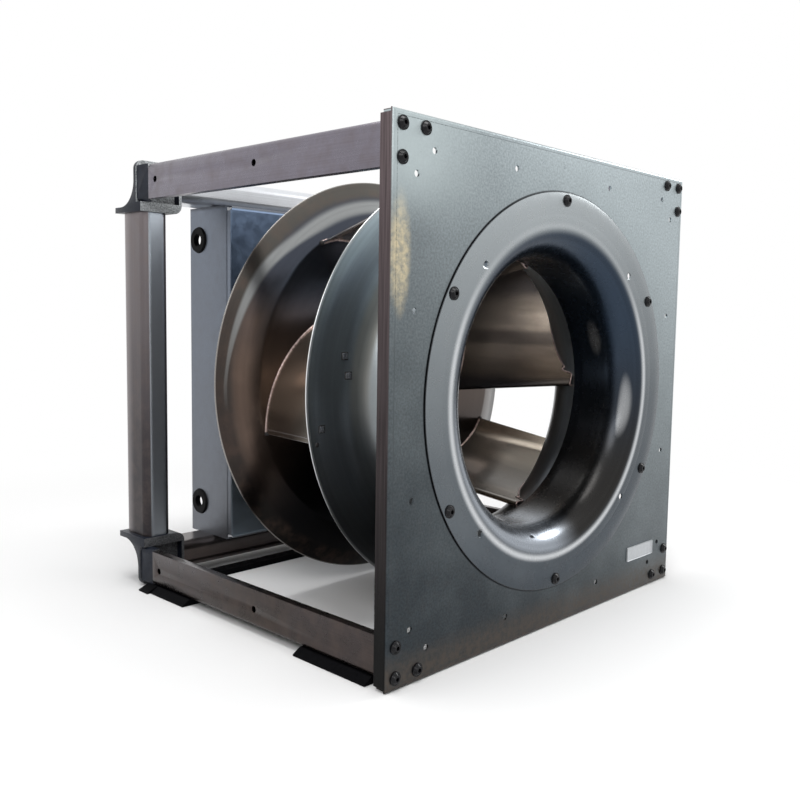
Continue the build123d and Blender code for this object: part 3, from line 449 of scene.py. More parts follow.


# %% Nozzle: smooth spun zinc, a painted line of light along its lip, a throat in painted shade with painted highlights below and on the right, and painted shade on the flange's edge
def throat_marks(tree, colour, zinc):
    x, y, z = object_axes(tree)
    radius = axis_radius(tree)
    inside = falling(tree, radius, 0.2290, 0.2430)
    # Painted shade inside the throat: dark grey low down, navy higher up
    painted_throat_shade = blend_colour(tree, rising(tree, z, -0.16, 0.12), (0.026, 0.025, 0.024), (0.030, 0.044, 0.066))
    colour = blend_colour(tree, inside, colour, painted_throat_shade)
    # Painted highlight low in the throat, towards the left
    low = falling(tree, maths(tree, "MULTIPLY_ADD", x, 0.55, z), -0.20, -0.09)
    below = times(tree, times(tree, low, falling(tree, x, -0.01, 0.07)), inside)
    colour = blend_colour(tree, below, colour, (0.30, 0.33, 0.37))
    # Painted highlight spots on the right of the throat
    painted_highlight_spots = maths(tree, "MAXIMUM",
                  patch(tree, (x, 0.18, 0.06), (z, 0.078, 0.034), (y, 0.062, 0.014)),
                  patch(tree, (x, 0.22, 0.06), (z, -0.035, 0.062), (y, 0.016, 0.011)))
    colour = blend_colour(tree, times(tree, painted_highlight_spots, 0.5), colour, (0.55, 0.56, 0.57))
    # Painted highlight along the lip, fading towards the top
    lip_middle = grade(tree, x, 0.2435, 0.2395, -0.1, 0.2)
    lip_off = maths(tree, "DIVIDE", maths(tree, "SUBTRACT", radius, lip_middle), 0.0075)
    lip_light = times(tree, falling(tree, maths(tree, "ABSOLUTE", lip_off), 0.0, 1.0, 0.75),
                      grade(tree, z, 1.0, 0.2, 0.05, 0.21, "SMOOTHSTEP"))
    colour = blend_colour(tree, lip_light, colour, (0.70, 0.72, 0.74))
    # Painted shade on the flange's outer edge
    rim = grade(tree, radius, 0.0, 1.0, flange_r - 0.0010, flange_r - 0.0004)
    colour = blend_colour(tree, rim, colour, (0.06, 0.065, 0.07))
    rings = grade(tree, use_group(tree, ring_tree, Ring_pitch=0.0035)["Ring"], -0.07, 0.07, 0.3, 0.7)
    return dim(tree, colour, maths(tree, "MULTIPLY_ADD", rings, inside, 1.0))


# Painted light and shade on the nozzle: darker low down, lighter at the top and to the left
nozzle_zinc = metal("nozzle_zinc", (0.40, 0.435, 0.45), (0.058, 0.070, 0.083),
                    tone=dict(Right=-0.15, Low=-0.34, High=0.30, Waver=0.04, Curve=2.0),
                    grain=0.0015, grain_amount=0.02, blotch=0.12, blotch_amount=0.03,
                    warm_amount=0.03, gloss=0.26, gloss_spread=0.04, line_depth=0.03,
                    extra=throat_marks)


# %% Back disc: dark spun steel, a painted highlight band near its rim above, painted shade inside and a painted warm reflection at the left
def spun_rings(tree, colour):
    rings = use_group(tree, ring_tree, Ring_pitch=0.006)["Ring"]
    return dim(tree, colour, grade(tree, rings, 0.94, 1.06, 0.3, 0.7))


def disc_marks(tree, colour, zinc):
    x, _, z = object_axes(tree)
    radius = axis_radius(tree)
    # Painted shade inside the flare: brown and navy above, near black below
    inner = falling(tree, radius, 0.300, 0.316)
    inside = blend_colour(tree, rising(tree, z, 0.02, 0.20), (0.06, 0.042, 0.034), (0.055, 0.062, 0.080))
    inside = blend_colour(tree, falling(tree, z, -0.16, -0.02), inside, (0.008, 0.008, 0.009))
    colour = blend_colour(tree, inner, colour, inside)
    # Painted warm reflection at the left of the disc, lighter inside the bend, darker on the flare
    level = falling(tree, maths(tree, "ABSOLUTE", maths(tree, "ADD", z, 0.02)), 0.06, 0.22)
    warm = times(tree, falling(tree, x, -0.33, -0.17), level)
    warm = times(tree, warm, grade(tree, zinc["Blotch"], 0.35, 1.0, 0.4, 0.6))
    brown = blend_colour(tree, inner, (0.045, 0.031, 0.027), (0.20, 0.14, 0.11))
    colour = blend_colour(tree, warm, colour, brown)
    # Painted highlight band near the rim, widest at the top
    middle = grade(tree, z, 0.319, 0.307, 0.0, 0.19)
    middle = maths(tree, "ADD", middle, rising(tree, z, 0.17, 0.25, -0.014))
    half = grade(tree, z, 0.0022, 0.0100, 0.03, 0.25)
    off = maths(tree, "ABSOLUTE", maths(tree, "SUBTRACT", radius, middle))
    painted_highlight_band = times(tree, falling(tree, maths(tree, "DIVIDE", off, half), 0.5, 1.5),
                   grade(tree, z, 0.0, 1.0, -0.04, 0.17))
    colour = blend_colour(tree, times(tree, painted_highlight_band, 0.95), colour, (0.30, 0.31, 0.31))
    # Painted highlight on the rim's edge
    edge = times(tree, band(tree, radius, 0.3334, 0.0010), 0.6)
    colour = blend_colour(tree, edge, colour, (0.40, 0.38, 0.36))
    return spun_rings(tree, colour)


spun = dict(warm=(0.16, 0.10, 0.075), grain=0.002, grain_amount=0.03, blotch=0.16,
            gloss=0.21, gloss_spread=0.02, line_depth=0.015)
# Painted light and shade on the disc: darker low down and to the right
disc_steel = metal("disc_steel", (0.105, 0.098, 0.088), (0.006, 0.005, 0.005),
                   tone=dict(Right=-0.3, Low=-0.26, High=0.36, Waver=0.15, Curve=1.4),
                   blotch_amount=0.05, warm_amount=0.3, extra=disc_marks, **spun)


# %% Shroud and blades: painted light at the shroud's top, painted highlights on its bell and rim, streaks and painted shade on the blades
def shroud_marks(tree, colour, zinc):
    z = object_axes(tree)[2]
    radius = axis_radius(tree)
    # Painted light at the top of the shroud
    colour = blend_colour(tree, rising(tree, z, 0.12, 0.27), colour, (0.85, 0.95, 1.0))
    # Painted soft highlight round the shroud's bell, away from its bottom
    soft = times(tree, band(tree, radius, 0.240, 0.011), rising(tree, z, -0.10, 0.03, 0.7))
    colour = blend_colour(tree, soft, colour, (0.38, 0.365, 0.33))
    # Painted highlight along the rim's edge, strongest at the top
    edge = times(tree, grade(tree, radius, 0.0, 1.0, 0.3215, 0.3235),
                 grade(tree, z, 0.25, 1.0, -0.2, 0.1))
    colour = blend_colour(tree, edge, colour, (0.90, 0.91, 0.92))
    return spun_rings(tree, colour)


def blade_marks(tree, colour, zinc):
    streak = use_group(tree, lines_tree, Across_X=14.0, Across_Y=2.0, Across_Z=14.0)["Line"]
    colour = dim(tree, colour, grade(tree, streak, 0.65, 1.3, 0.38, 0.62, "SMOOTHSTEP"))
    x, _, z = object_axes(tree)
    # Painted shade bands on the blades right of the middle: at the top, in a middle band and low down
    dark = maths(tree, "MAXIMUM", rising(tree, z, 0.125, 0.160, 0.85),
                 times(tree, band(tree, z, 0.072, 0.012), 0.5))
    below = times(tree, falling(tree, z, -0.012, 0.016, 0.85), grade(tree, z, 0.0, 1.0, -0.07, -0.05))
    dark = times(tree, maths(tree, "MAXIMUM", dark, below), grade(tree, x, 0.0, 1.0, -0.12, -0.06))
    return blend_colour(tree, dark, colour, (0.030, 0.030, 0.038))


# Painted light and shade on shroud and blades: lighter at the top
shroud_steel = metal("shroud_steel", (0.42, 0.46, 0.48), (0.10, 0.105, 0.11),
                     tone=dict(Low=-0.20, High=0.20, Waver=0.08),
                     blotch_amount=0.03, warm_amount=0.05, extra=shroud_marks, **{**spun, "gloss": 0.30})
blade_steel = metal("blade_steel", (0.50, 0.42, 0.345), (0.118, 0.104, 0.086),
                    tone=dict(Low=-0.10, High=0.12, Waver=0.1),
                    blotch_amount=0.15, warm_amount=0.15, extra=blade_marks, **spun)

# %% Extruded struts, posts and tubes: painted light, brighter at the top; the posts get painted light at the rear and a painted highlight on their front face
strut_aluminium = metal("strut_aluminium", (0.21, 0.195, 0.23), (0.046, 0.037, 0.033),
                        tone=dict(Back=0.10, Low=-0.30, High=0.36, Waver=0.02),
                        warm=(0.13, 0.095, 0.08), grain_amount=0.02, blotch=0.2, blotch_amount=0.08,
                        warm_amount=0.35, gloss=0.30, line_depth=0.06, lines=(900, 6, 900))
post_front = min(vertex.co.y for vertex in nodes["post_left"].data.vertices)


def post_marks(tree, colour, zinc):
    y, z = object_axes(tree)[1:]
    # Painted light at the rear of the post
    painted_rear_light = rising(tree, y, post_front + 0.036, post_front + 0.068, 0.7)
    colour = blend_colour(tree, painted_rear_light, colour, (0.40, 0.37, 0.375))
    # Painted highlight on the post's front face, brighter at the top
    painted_front_light = falling(tree, y, post_front + 0.0001, post_front + 0.0012)
    face = blend_colour(tree, grade(tree, z, 0.0, 1.0, -0.3, 0.25), (0.40, 0.43, 0.47), (0.80, 0.86, 0.94))
    return blend_colour(tree, painted_front_light, colour, face)


post_aluminium = metal("post_aluminium", (0.215, 0.190, 0.196), (0.018, 0.016, 0.018),
                       tone=dict(Low=-0.30, High=0.33, Waver=0.05, Curve=1.3),
                       warm=(0.16, 0.12, 0.105), grain_amount=0.02, blotch=0.16, blotch_amount=0.05,
                       warm_amount=0.3, gloss=0.30, gloss_spread=0.015, line_depth=0.02,
                       lines=(900, 900, 6), extra=post_marks)
tube_aluminium = metal("tube_aluminium", (0.70, 0.72, 0.75), (0.085, 0.070, 0.066),
                       tone=dict(Low=-0.32, High=0.30, Waver=0.05),
                       grain_amount=0.02, blotch=0.2, blotch_amount=0.05, warm_amount=0.1,
                       gloss=0.30, gloss_spread=0.02, line_depth=0.02, lines=(6, 900, 900))

# %% Folded pan: painted light on its air side, bluer and lighter above, and painted shade along its top
pan_front = min(vertex.co.y for vertex in nodes["motor_pan"].data.vertices)
pan_top = max(vertex.co.z for vertex in nodes["motor_pan"].data.vertices)


def pan_marks(tree, colour, zinc):
    y, z = object_axes(tree)[1:]
    # Painted light on the pan's air side, bluer and lighter at the top
    painted_front_light = blend_colour(tree, use_group(tree, tone_tree, Low=-0.2, High=0.25)["Tone"],
                         (0.20, 0.24, 0.28), (0.22, 0.30, 0.44))
    air_side = grade(tree, y, 1.0, 0.0, pan_front + 0.0004, pan_front + 0.0014)
    colour = blend_colour(tree, air_side, colour, painted_front_light)
    # Painted shade along the top of the pan
    top = grade(tree, z, 0.0, 1.0, pan_top - 0.006, pan_top - 0.002)
    return blend_colour(tree, top, colour, (0.10, 0.11, 0.13))


pan_zinc = metal("pan_zinc", (0.18, 0.205, 0.25), (0.155, 0.165, 0.185), warm=(0.22, 0.20, 0.20),
                 tone=dict(Low=-0.3, High=0.3), grain_amount=0.04, blotch=0.1, blotch_amount=0.15,
                 warm_amount=0.1, gloss=0.36, line_depth=0.1, extra=pan_marks)

# %% Motor castings, ground steel, and welds with their burnt ends
casting = metal("motor_casting", (0.22, 0.23, 0.25), (0.10, 0.10, 0.11),
                tone=dict(Low=-0.2, High=0.2), grain=0.0012, grain_amount=0.15,
                gloss=0.5, line_depth=0.5)
ground_steel = metal("ground_steel", (0.5, 0.5, 0.52), (0.4, 0.4, 0.42), gloss=0.2)
weld_steel = metal("weld_steel", (0.46, 0.36, 0.34), (0.30, 0.22, 0.20), warm=(0.20, 0.13, 0.12),
                   tone=dict(Low=-0.3, High=0.3, Waver=1.0), grain=0.003, grain_amount=0.3,
                   blotch=0.03, blotch_amount=0.4, warm_amount=0.6, gloss=0.3, line_depth=0.6)
burnt_steel = metal("burnt_steel", (0.030, 0.026, 0.026), (0.010, 0.009, 0.009), warm=(0.07, 0.05, 0.04),
                    grain=0.001, grain_amount=0.4, metallic=0.4, gloss=0.6, line_depth=0.6)
print("metals done, materials", len(bpy.data.materials))

# %% [markdown]
# ## Paint, rubber and casting skin
# The brackets are cast and painted a very dark blue, smooth where they were ground and sandy where they
# were left as cast. Rubber, screws, board and magnets are duller: two close tones in a fine mottle.

# %% Coatings
def coating(name, colour, second, roughness, grain=0.0015, depth=0.3, metallic=0.0, shine=0.5):
    """Paint, rubber or plastic: two tones in a fine mottle, with a fine bump."""
    material, tree, shader = blank_material(name, metallic)
    shader.inputs["Specular IOR Level"].default_value = shine
    zinc = use_group(tree, grain_tree, Grain_size=grain, Blotch_size=grain * 20)
    tones = blend_colour(tree, grade(tree, zinc["Speck"], 0, 1, 0.35, 0.65), colour, second)
    rough = grade(tree, zinc["Blotch"], roughness - 0.08, roughness + 0.08, 0.3, 0.7)
    finish_shader(tree, shader, tones, rough, zinc["Grain"], depth, 0.0003)
    return material


bracket_black = coating("bracket_black", (0.007, 0.009, 0.016), (0.014, 0.018, 0.028), 0.34, 0.002, 0.2,
                        shine=0.2)
# The sandy faces get painted light and shade too: lighter at the top
bracket_sandy = metal("bracket_sandy", (0.38, 0.40, 0.41), (0.045, 0.045, 0.050), warm=(0.2, 0.2, 0.2),
                      tone=dict(Low=-0.2, High=0.28), grain=0.0022, grain_amount=0.5, metallic=0.3,
                      gloss=0.6, line_depth=1.0)
rubber_black = coating("rubber_black", (0.002, 0.002, 0.003), (0.006, 0.006, 0.007), 0.6, shine=0.10)
foot_black = coating("foot_black", (0.0015, 0.0015, 0.002), (0.004, 0.004, 0.005), 0.5, shine=0.03)
screw_black = coating("screw_black", (0.002, 0.002, 0.003), (0.007, 0.007, 0.009), 0.22, 0.0008,
                      shine=0.22)
board_green = coating("board_green", (0.02, 0.12, 0.05), (0.03, 0.16, 0.07), 0.4)
copper_wire = coating("copper_wire", (0.45, 0.18, 0.08), (0.30, 0.11, 0.05), 0.4, 0.0012, 0.5, metallic=1.0)
magnet_grey = coating("magnet_grey", (0.10, 0.10, 0.11), (0.16, 0.16, 0.17), 0.45)
label_silver = coating("label_silver", (0.50, 0.52, 0.54), (0.56, 0.58, 0.60), 0.35, 0.002, 0.1,
                       metallic=0.4)
print("coatings done, materials", len(bpy.data.materials))


# %% Dress the construction pieces, by how their names start or end
def dress(material, *names):
    for name, obj in nodes.items():
        if name.startswith(names) or name.endswith(names):
            for slot in obj.material_slots:
                slot.material = material


dress(plate_zinc, "nozzle_plate")
dress(nozzle_zinc, "inlet_nozzle", "pressure_tap")
dress(disc_steel, "impeller_back")
dress(shroud_steel, "impeller_shroud")
dress(blade_steel, "blade")
dress(strut_aluminium, "strut")
dress(post_aluminium, "post")
dress(tube_aluminium, "cross_tube")
dress(pan_zinc, "motor_pan")
dress(casting, "rotor_cup", "stator_housing", "electronics_housing", "electronics_cover")
dress(ground_steel, "bearing", "shaft", "stator_stack")
dress(bracket_black, "corner_bracket")
dress(rubber_black, "grommet")
dress(foot_black, "foot", "rear_bar")
dress(screw_black, "screws", "cable_glands")
dress(board_green, "control_board")
dress(copper_wire, "stator_windings")
dress(magnet_grey, "rotor_magnets")
print("dressed", sum(1 for obj in nodes.values() if obj.material_slots))

# %% [markdown]
# ## Softened edges
# No real edge is perfectly sharp: sheet is deburred, extrusions leave the die a little round and castings
# more so. A copy of the construction piece is merged, its flat faces are joined again, and a Bevel
# modifier rounds every hard edge, which gives it the thin line of light that real edges show.

# %% Helpers for finished pieces
merge_distance, flat_degrees, hard_degrees = 0.00002, 0.4, 32


def only(obj):
    bpy.ops.object.select_all(action="DESELECT")
    obj.select_set(True)
    bpy.context.view_layer.objects.active = obj


def edit_all(obj):
    """Edit mode on one piece, with all of it selected."""
    only(obj)
    bpy.ops.object.mode_set(mode="EDIT")
    bpy.ops.mesh.select_all(action="SELECT")


def leave_edit():
    bpy.ops.object.mode_set(mode="OBJECT")


def smooth(obj, degrees):
    only(obj)
    bpy.ops.object.shade_smooth_by_angle(angle=math.radians(degrees))


def apply_modifier(obj, kind, **settings):
    made = obj.modifiers.new(kind.lower(), kind)
    for key, value in settings.items():
        setattr(made, key, value)
    only(obj)
    bpy.ops.object.modifier_apply(modifier=made.name)


def finish_piece(obj, body, slot_name, *replaced):
    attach(obj, body)
    if replaced:
        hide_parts(*replaced)


def softened(name, new_name, width, slot_name):
    """A copy of a construction piece with its hard edges rounded, which stands for it."""
    source = nodes[name]
    copy = bpy.data.objects.new(new_name, source.data.copy())
    bpy.context.collection.objects.link(copy)
    edit_all(copy)
    bpy.ops.mesh.remove_doubles(threshold=merge_distance)
    bpy.ops.mesh.dissolve_limited(angle_limit=math.radians(flat_degrees))
    leave_edit()
    apply_modifier(copy, "BEVEL", width=width, segments=2, limit_method="ANGLE",
                   angle_limit=math.radians(hard_degrees))
    smooth(copy, 40)
    finish_piece(copy, "frame", slot_name, name)
    return copy


# %% Brackets and rails; the brackets' front faces are sandy
rail_edge, bracket_edge = 0.0006, 0.0011
corners = ("top_left", "top_right", "bottom_left", "bottom_right")
for corner in corners:
    softened(f"strut_{corner}", f"strut_rail_{corner}", rail_edge, "mill_aluminium")
    bracket = softened(f"corner_bracket_{corner}", f"bracket_casting_{corner}", bracket_edge, "cast_black")
    bracket.data.materials.append(bracket_sandy)
    for face in bracket.data.polygons:
        if face.normal.y < -0.9:
            face.material_index = len(bracket.data.materials) - 1
print("softened", len(corners) * 2)

# %% [markdown]
# ## Spun sheet: nozzle, shroud and back disc
# Each is one sheet turned round the fan's axis. It starts as a circle, is extruded ring by ring along the
# profile, gets its thickness from a Solidify modifier and its softened rims from a Bevel. The rings are
# close enough that a mirror-like metal shows no facets.

# %% Turned sheet helpers
around, arc_steps, hole_sides = 192, 28, 32
sheet_edge, sheet_edge_degrees = 0.0005, 60


def arc(centre, radii, start, end):
    """Points of an arc from start to end degrees, as (radius, depth) in millimetres."""
    turns = [math.radians(start + (end - start) * i / arc_steps) for i in range(arc_steps + 1)]
    return [(centre[0] + radii[0] * math.cos(t), centre[1] + radii[1] * math.sin(t)) for t in turns]


def turned_sheet(name, profile, thickness, facing, material):
    """A sheet turned round Y from the profile of its air side, in millimetres. Facing is the way, as
    (outwards, back), that the air side's first ring looks; the thickness grows the other way."""
    radius, depth = (value / 1000 for value in profile[0])
    bpy.ops.mesh.primitive_circle_add(
        vertices=around, radius=radius, location=(0, depth, 0), rotation=(math.pi / 2, 0, 0)
    )
    obj = bpy.context.object
    obj.name = name
    bpy.ops.object.transform_apply()
    edit_all(obj)
    for next_radius, next_depth in profile[1:]:
        next_radius, next_depth = next_radius / 1000, next_depth / 1000
        bpy.ops.mesh.extrude_edges_move(
            TRANSFORM_OT_translate={"value": (0, next_depth - depth, 0)}
        )
        grow = next_radius / radius
        bpy.ops.transform.resize(value=(grow, 1, grow), center_override=(0, next_depth, 0))
        radius, depth = next_radius, next_depth
    bpy.ops.mesh.select_all(action="SELECT")
    bpy.ops.mesh.normals_make_consistent(inside=False)
    leave_edit()
    first = min(obj.data.polygons, key=lambda face: abs(face.center.length - profile[0][0] / 1000))
    outwards = Vector((first.center.x, 0, first.center.z)).normalized()
    wanted = outwards * facing[0] + Vector((0, facing[1], 0))
    if first.normal.dot(wanted) < 0:
        edit_all(obj)
        bpy.ops.mesh.flip_normals()
        leave_edit()
    apply_modifier(obj, "SOLIDIFY", thickness=thickness / 1000, offset=-1.0, use_even_offset=True)
    apply_modifier(obj, "BEVEL", width=sheet_edge, segments=2, limit_method="ANGLE",
                   angle_limit=math.radians(sheet_edge_degrees))
    smooth(obj, 50)
    obj.data.materials.append(material)
    print(name, "faces", len(obj.data.polygons))
    return obj


def drill(obj, places, radius, length):
    """Round holes through obj, at (point, direction) places."""
    for point, direction in places:
        bpy.ops.mesh.primitive_cylinder_add(
            vertices=hole_sides, radius=radius, depth=length, location=point
        )
        cutter = bpy.context.object
        cutter.rotation_mode = "QUATERNION"
        cutter.rotation_quaternion = Vector(direction).to_track_quat("Z", "Y")
        apply_modifier(obj, "BOOLEAN", operation="DIFFERENCE", object=cutter, solver="EXACT")
        bpy.data.objects.remove(cutter)


def round_axis(radius, turn, depth=0.0):
    """A point in metres at a radius and turn from X round the fan's axis."""
    return Vector((radius * math.cos(turn), depth, radius * math.sin(turn)))


# %% Inlet nozzle, with the fine crease that the spinning tool leaves where the lip begins
lip_r, throat_r, crease_r, crease_half = 243.0, 200.0, 259.0, 0.8
lip_end, nozzle_end, nozzle_sheet = 51.0, 110.0, 2.0
nozzle_profile = [(flange_r * 1000, -nozzle_sheet), (275, -nozzle_sheet),
                  (crease_r + crease_half, -nozzle_sheet), (crease_r, -nozzle_sheet + 0.1),
                  (crease_r - crease_half, -nozzle_sheet), (252, -nozzle_sheet)]
nozzle_profile += arc((lip_r, lip_end), (lip_r - throat_r, lip_end + nozzle_sheet), 270, 180)
nozzle_profile += [(throat_r, 70), (throat_r, 90), (throat_r, nozzle_end)]
nozzle = turned_sheet("nozzle_spun", nozzle_profile, nozzle_sheet, (0, -1), nozzle_zinc)
guard_r, guard_hole_r = 0.2531, 0.0045
guard_turns = [math.radians(45 + 90 * i) for i in range(4)]
drill(nozzle, [(round_axis(guard_r, t), (0, 1, 0)) for t in guard_turns], guard_hole_r, 0.02)
tap_r, tap_depth, tap_hole_r, tap_turn = 0.2140, 0.013, 0.002, math.radians(-101)
tap_out, tap_back = 0.757, 0.653
drill(nozzle, [(round_axis(tap_r, tap_turn, tap_depth), round_axis(tap_out, tap_turn, tap_back))],
      tap_hole_r, 0.012)
finish_piece(nozzle, "frame", "nozzle_sheet", "inlet_nozzle")

# %% Shroud
neck_r, bend_r, bell_depth = 206.0, 68.0, 118.0
shroud_rim_r, shroud_rim_depth, shroud_sheet = 325.6, 187.1, 2.0
shroud_profile = [(neck_r, 98), (neck_r, 108)]
shroud_profile += arc((neck_r + bend_r, bell_depth), (bend_r, bend_r), 180, 90)
shroud_profile += [(300, 186.55), (shroud_rim_r, shroud_rim_depth)]
shroud = turned_sheet("shroud_spun", shroud_profile, shroud_sheet, (-1, 0), shroud_steel)
finish_piece(shroud, "rotor", "impeller_sheet", "impeller_shroud")


# %% Back disc
def rounded_path(points, radius, steps=8):
    """The path through points with each inner corner rounded by an arc."""
    path = [points[0]]
    for before, corner, after in zip(points, points[1:], points[2:]):
        corner = Vector(corner)
        back, ahead = (Vector(before) - corner).normalized(), (Vector(after) - corner).normalized()
        half = back.angle(ahead) / 2
        reach = radius / math.tan(half)
        centre = corner + (back + ahead).normalized() * radius / math.sin(half)
        first, last = corner + back * reach - centre, corner + ahead * reach - centre
        path += [tuple(centre + first.slerp(last, i / steps).normalized() * radius)
                 for i in range(steps + 1)]
    return path + [points[-1]]


disc_sheet, disc_bend_r = 2.5, 30.0
disc_profile = rounded_path([(93.0, 340.0), (140.0, 340.0), (270.0, 363.0), (334.0, 389.0)], disc_bend_r)
disc = turned_sheet("back_disc_spun", disc_profile, disc_sheet, (0, -1), disc_steel)
finish_piece(disc, "rotor", "impeller_sheet", "impeller_back_disc")

# %% [markdown]
# ## Blades
# A blade is hollow: two curved skins that part behind a round nose and meet again in a flat tail. Every
# straight line of its skins runs from the shroud to the back disc, so a ring of points that follows the
# section is extruded from one disc to the other, and each ring's points are then set on those lines
# where they meet the discs. This fits the ends to both curved sheets.

# %% Blade lines, in millimetres and degrees: sections at a front and a back depth
blade_count, skin, thick, nose, tail = 5, 1.6, 15.5, 8.0, 30.0
front_depth, back_depth = 95.0, 375.0
inlet_front, inlet_back = (210.7, 143.3), (159.8, 133.1)
outlet_front, outlet_back = (338.7, 190.9), (267.0, 196.5)
bulge_front, bulge_back = 28.0, 44.0
weld_gap, meet_steps = 0.3, 12


def polar(radius, degrees):
    return Vector((radius * math.cos(math.radians(degrees)), radius * math.sin(math.radians(degrees))))


def blade_arc(depth):
    """Centre, radius, half angle and directions of the outer skin's arc at a depth."""
    share = (back_depth - depth) / (back_depth - front_depth)
    inlet = polar(*inlet_back).lerp(polar(*inlet_front), share)
    outlet = polar(*outlet_back).lerp(polar(*outlet_front), share)
    bulge = bulge_back + (bulge_front - bulge_back) * share
    chord = outlet - inlet
    run = chord.normalized()
    out = Vector((run.y, -run.x))
    radius = (chord.length ** 2 / 4 + bulge ** 2) / (2 * bulge)
    centre = (inlet + outlet) / 2 - out * (radius - bulge)
    return centre, radius, math.asin(chord.length / 2 / radius), run, out


def skin_point(depth, along, under):
    centre, radius, half, run, out = blade_arc(depth)
    turn = (2 * along - 1) * half
    return centre + (run * math.sin(turn) + out * math.cos(turn)) * (radius - under)


def placed(depth, along, under):
    """A point of the skin in the frame, in metres."""
    flat = skin_point(depth, along, under)
    return flat.x / 1000, depth / 1000, flat.y / 1000


def section_places(steps):
    """(share along, depth under the skin) round the section: outer skin, tail, inner skin, nose."""
    radius, half = blade_arc((front_depth + back_depth) / 2)[1:3]
    length = 2 * half * radius
    crease = 1 - tail / length
    places = [(i / steps, 0.0) for i in range(steps + 1)]
    places += [(1.0, 2 * skin), ((1 + crease) / 2, 2 * skin), (crease, 2 * skin)]
    for i in range(1, steps + 1):
        part = i / steps
        swell = 4 * part * (1 - part)
        base = 2 * skin + (nose - 2 * skin) * part
        places.append((crease * (1 - part), base + (thick - (2 * skin + nose) / 2) * swell))
    for degrees in (45, 90, 135):
        turn = math.radians(degrees)
        back = nose / 2 * math.sin(turn) / length
        places.append((-back, nose / 2 * (1 + math.cos(turn))))
    return places


def shroud_depth(radius):
    """Depth of the shroud's air side at a radius."""
    if radius >= neck_r + bend_r:
        rise = (shroud_rim_depth - bell_depth - bend_r) / (shroud_rim_r - neck_r - bend_r)
        return bell_depth + bend_r + (radius - neck_r - bend_r) * rise
    over = min(bend_r, neck_r + bend_r - radius)
    return bell_depth + math.sqrt(bend_r ** 2 - over ** 2)


def disc_depth(radius):
    """Depth of the back disc's front side at a radius."""
    for (r0, d0), (r1, d1) in zip(disc_profile, disc_profile[1:]):
        if radius <= r1:
            return d0 + (d1 - d0) * (radius - r0) / (r1 - r0)
    return disc_profile[-1][1]


# A side is a sheet's depth by radius, a depth to start from and the way from the sheet
shroud_side, disc_side = (shroud_depth, 186.0, 1), (disc_depth, 360.0, -1)


def meet(along, under, side):
    """Depth at which a skin line meets a sheet, found by stepping to it."""
    sheet_depth, depth, sign = side
    for _ in range(meet_steps):
        depth = sheet_depth(skin_point(depth, along, under).length) + sign * weld_gap
    return depth


def skin_line(along, under):
    """First and last depth of a skin line."""
    return meet(along, under, shroud_side), meet(along, under, disc_side)


def turned_copies(source, stem):
    """A piece and its copies for the other blades, each with its own mesh turned about the axis."""
    copies = [source]
    for number in range(1, blade_count):
        copy = source.copy()
        copy.data = source.data.copy()
        copy.name = f"{stem}_{number + 1}"
        bpy.context.collection.objects.link(copy)
        copy.data.transform(Matrix.Rotation(math.radians(number * 360 / blade_count), 4, "Y"))
        copies.append(copy)
    return copies


# %% Blade skins
steps, rows = 26, 10
places = section_places(steps)
bpy.ops.mesh.primitive_circle_add(vertices=len(places), radius=0.05)
first_blade = bpy.context.object
first_blade.name = "blade_skin_1"
edit_all(first_blade)
for row in range(rows):
    bpy.ops.mesh.extrude_edges_move(TRANSFORM_OT_translate={"value": (0, 0, 0.01)})
leave_edit()
ordered = sorted(
    first_blade.data.vertices,
    key=lambda v: (round(v.co.z, 4), math.atan2(v.co.y, v.co.x) % (2 * math.pi)),
)
depth_pairs = [skin_line(*spot) for spot in places]
for index, vertex in enumerate(ordered):
    row, spot = divmod(index, len(places))
    start, end = depth_pairs[spot]
    vertex.co = placed(start + (end - start) * row / rows, *places[spot])
edit_all(first_blade)
bpy.ops.mesh.normals_make_consistent(inside=False)
leave_edit()
apply_modifier(first_blade, "SOLIDIFY", thickness=skin / 1000, offset=-1.0)
smooth(first_blade, 35)
first_blade.data.materials.append(blade_steel)
for number, blade in enumerate(turned_copies(first_blade, "blade_skin")):
    finish_piece(blade, "rotor", "impeller_sheet", f"blade_{number + 1}")
print("blade depths", [round(v) for v in depth_pairs[0]], [round(v) for v in depth_pairs[steps]])

# %% [markdown]
# ## Welds
# Each blade is welded along both skins to both discs. A bead is a small tube along the corner, on a curve
# whose points swell and shrink by turns, as the ripples of a weld do. It ends in a burnt drop at the tail.

# %% Weld helpers
ripple_narrow, ripple_wide = 0.82, 1.12


def bead(points, radius, material):
    """A rippled tube through points, in metres."""
    bpy.ops.curve.primitive_nurbs_path_add(radius=0.01)
    seam = bpy.context.object
    spline = seam.data.splines[0]
    spline.points.add(len(points) - len(spline.points))
    for number, (point, spot) in enumerate(zip(spline.points, points)):
        point.co = (*spot, 1)
        point.radius = ripple_wide if number % 2 else ripple_narrow
    spline.order_u = 3
    spline.use_endpoint_u = True
    spline.resolution_u = 2
    seam.data.bevel_depth = radius
    seam.data.bevel_resolution = 2
    seam.data.use_fill_caps = True
    bpy.ops.object.convert(target="MESH")
    seam = bpy.context.object
    bpy.ops.object.shade_smooth()
    seam.data.materials.append(material)
    return seam


def section_seam(side):
    """Points round the whole section where it meets a sheet, three to each step."""
    points = []
    for (along, under), (next_along, next_under) in zip(places, places[1:] + places[:1]):
        for i in range(3):
            spot = along + (next_along - along) * i / 3, under + (next_under - under) * i / 3
            points.append(placed(meet(*spot, side), *spot))
    return points


def tail_points(along, under):
    """Nine points along a skin line."""
    first, last = skin_line(along, under)
    return [placed(first + (last - first) * i / 8, along, under) for i in range(9)]


def joined(parts, name):
    only(parts[0])
    for part in parts:
        part.select_set(True)
    bpy.ops.object.join()
    parts[0].name = name
    return parts[0]


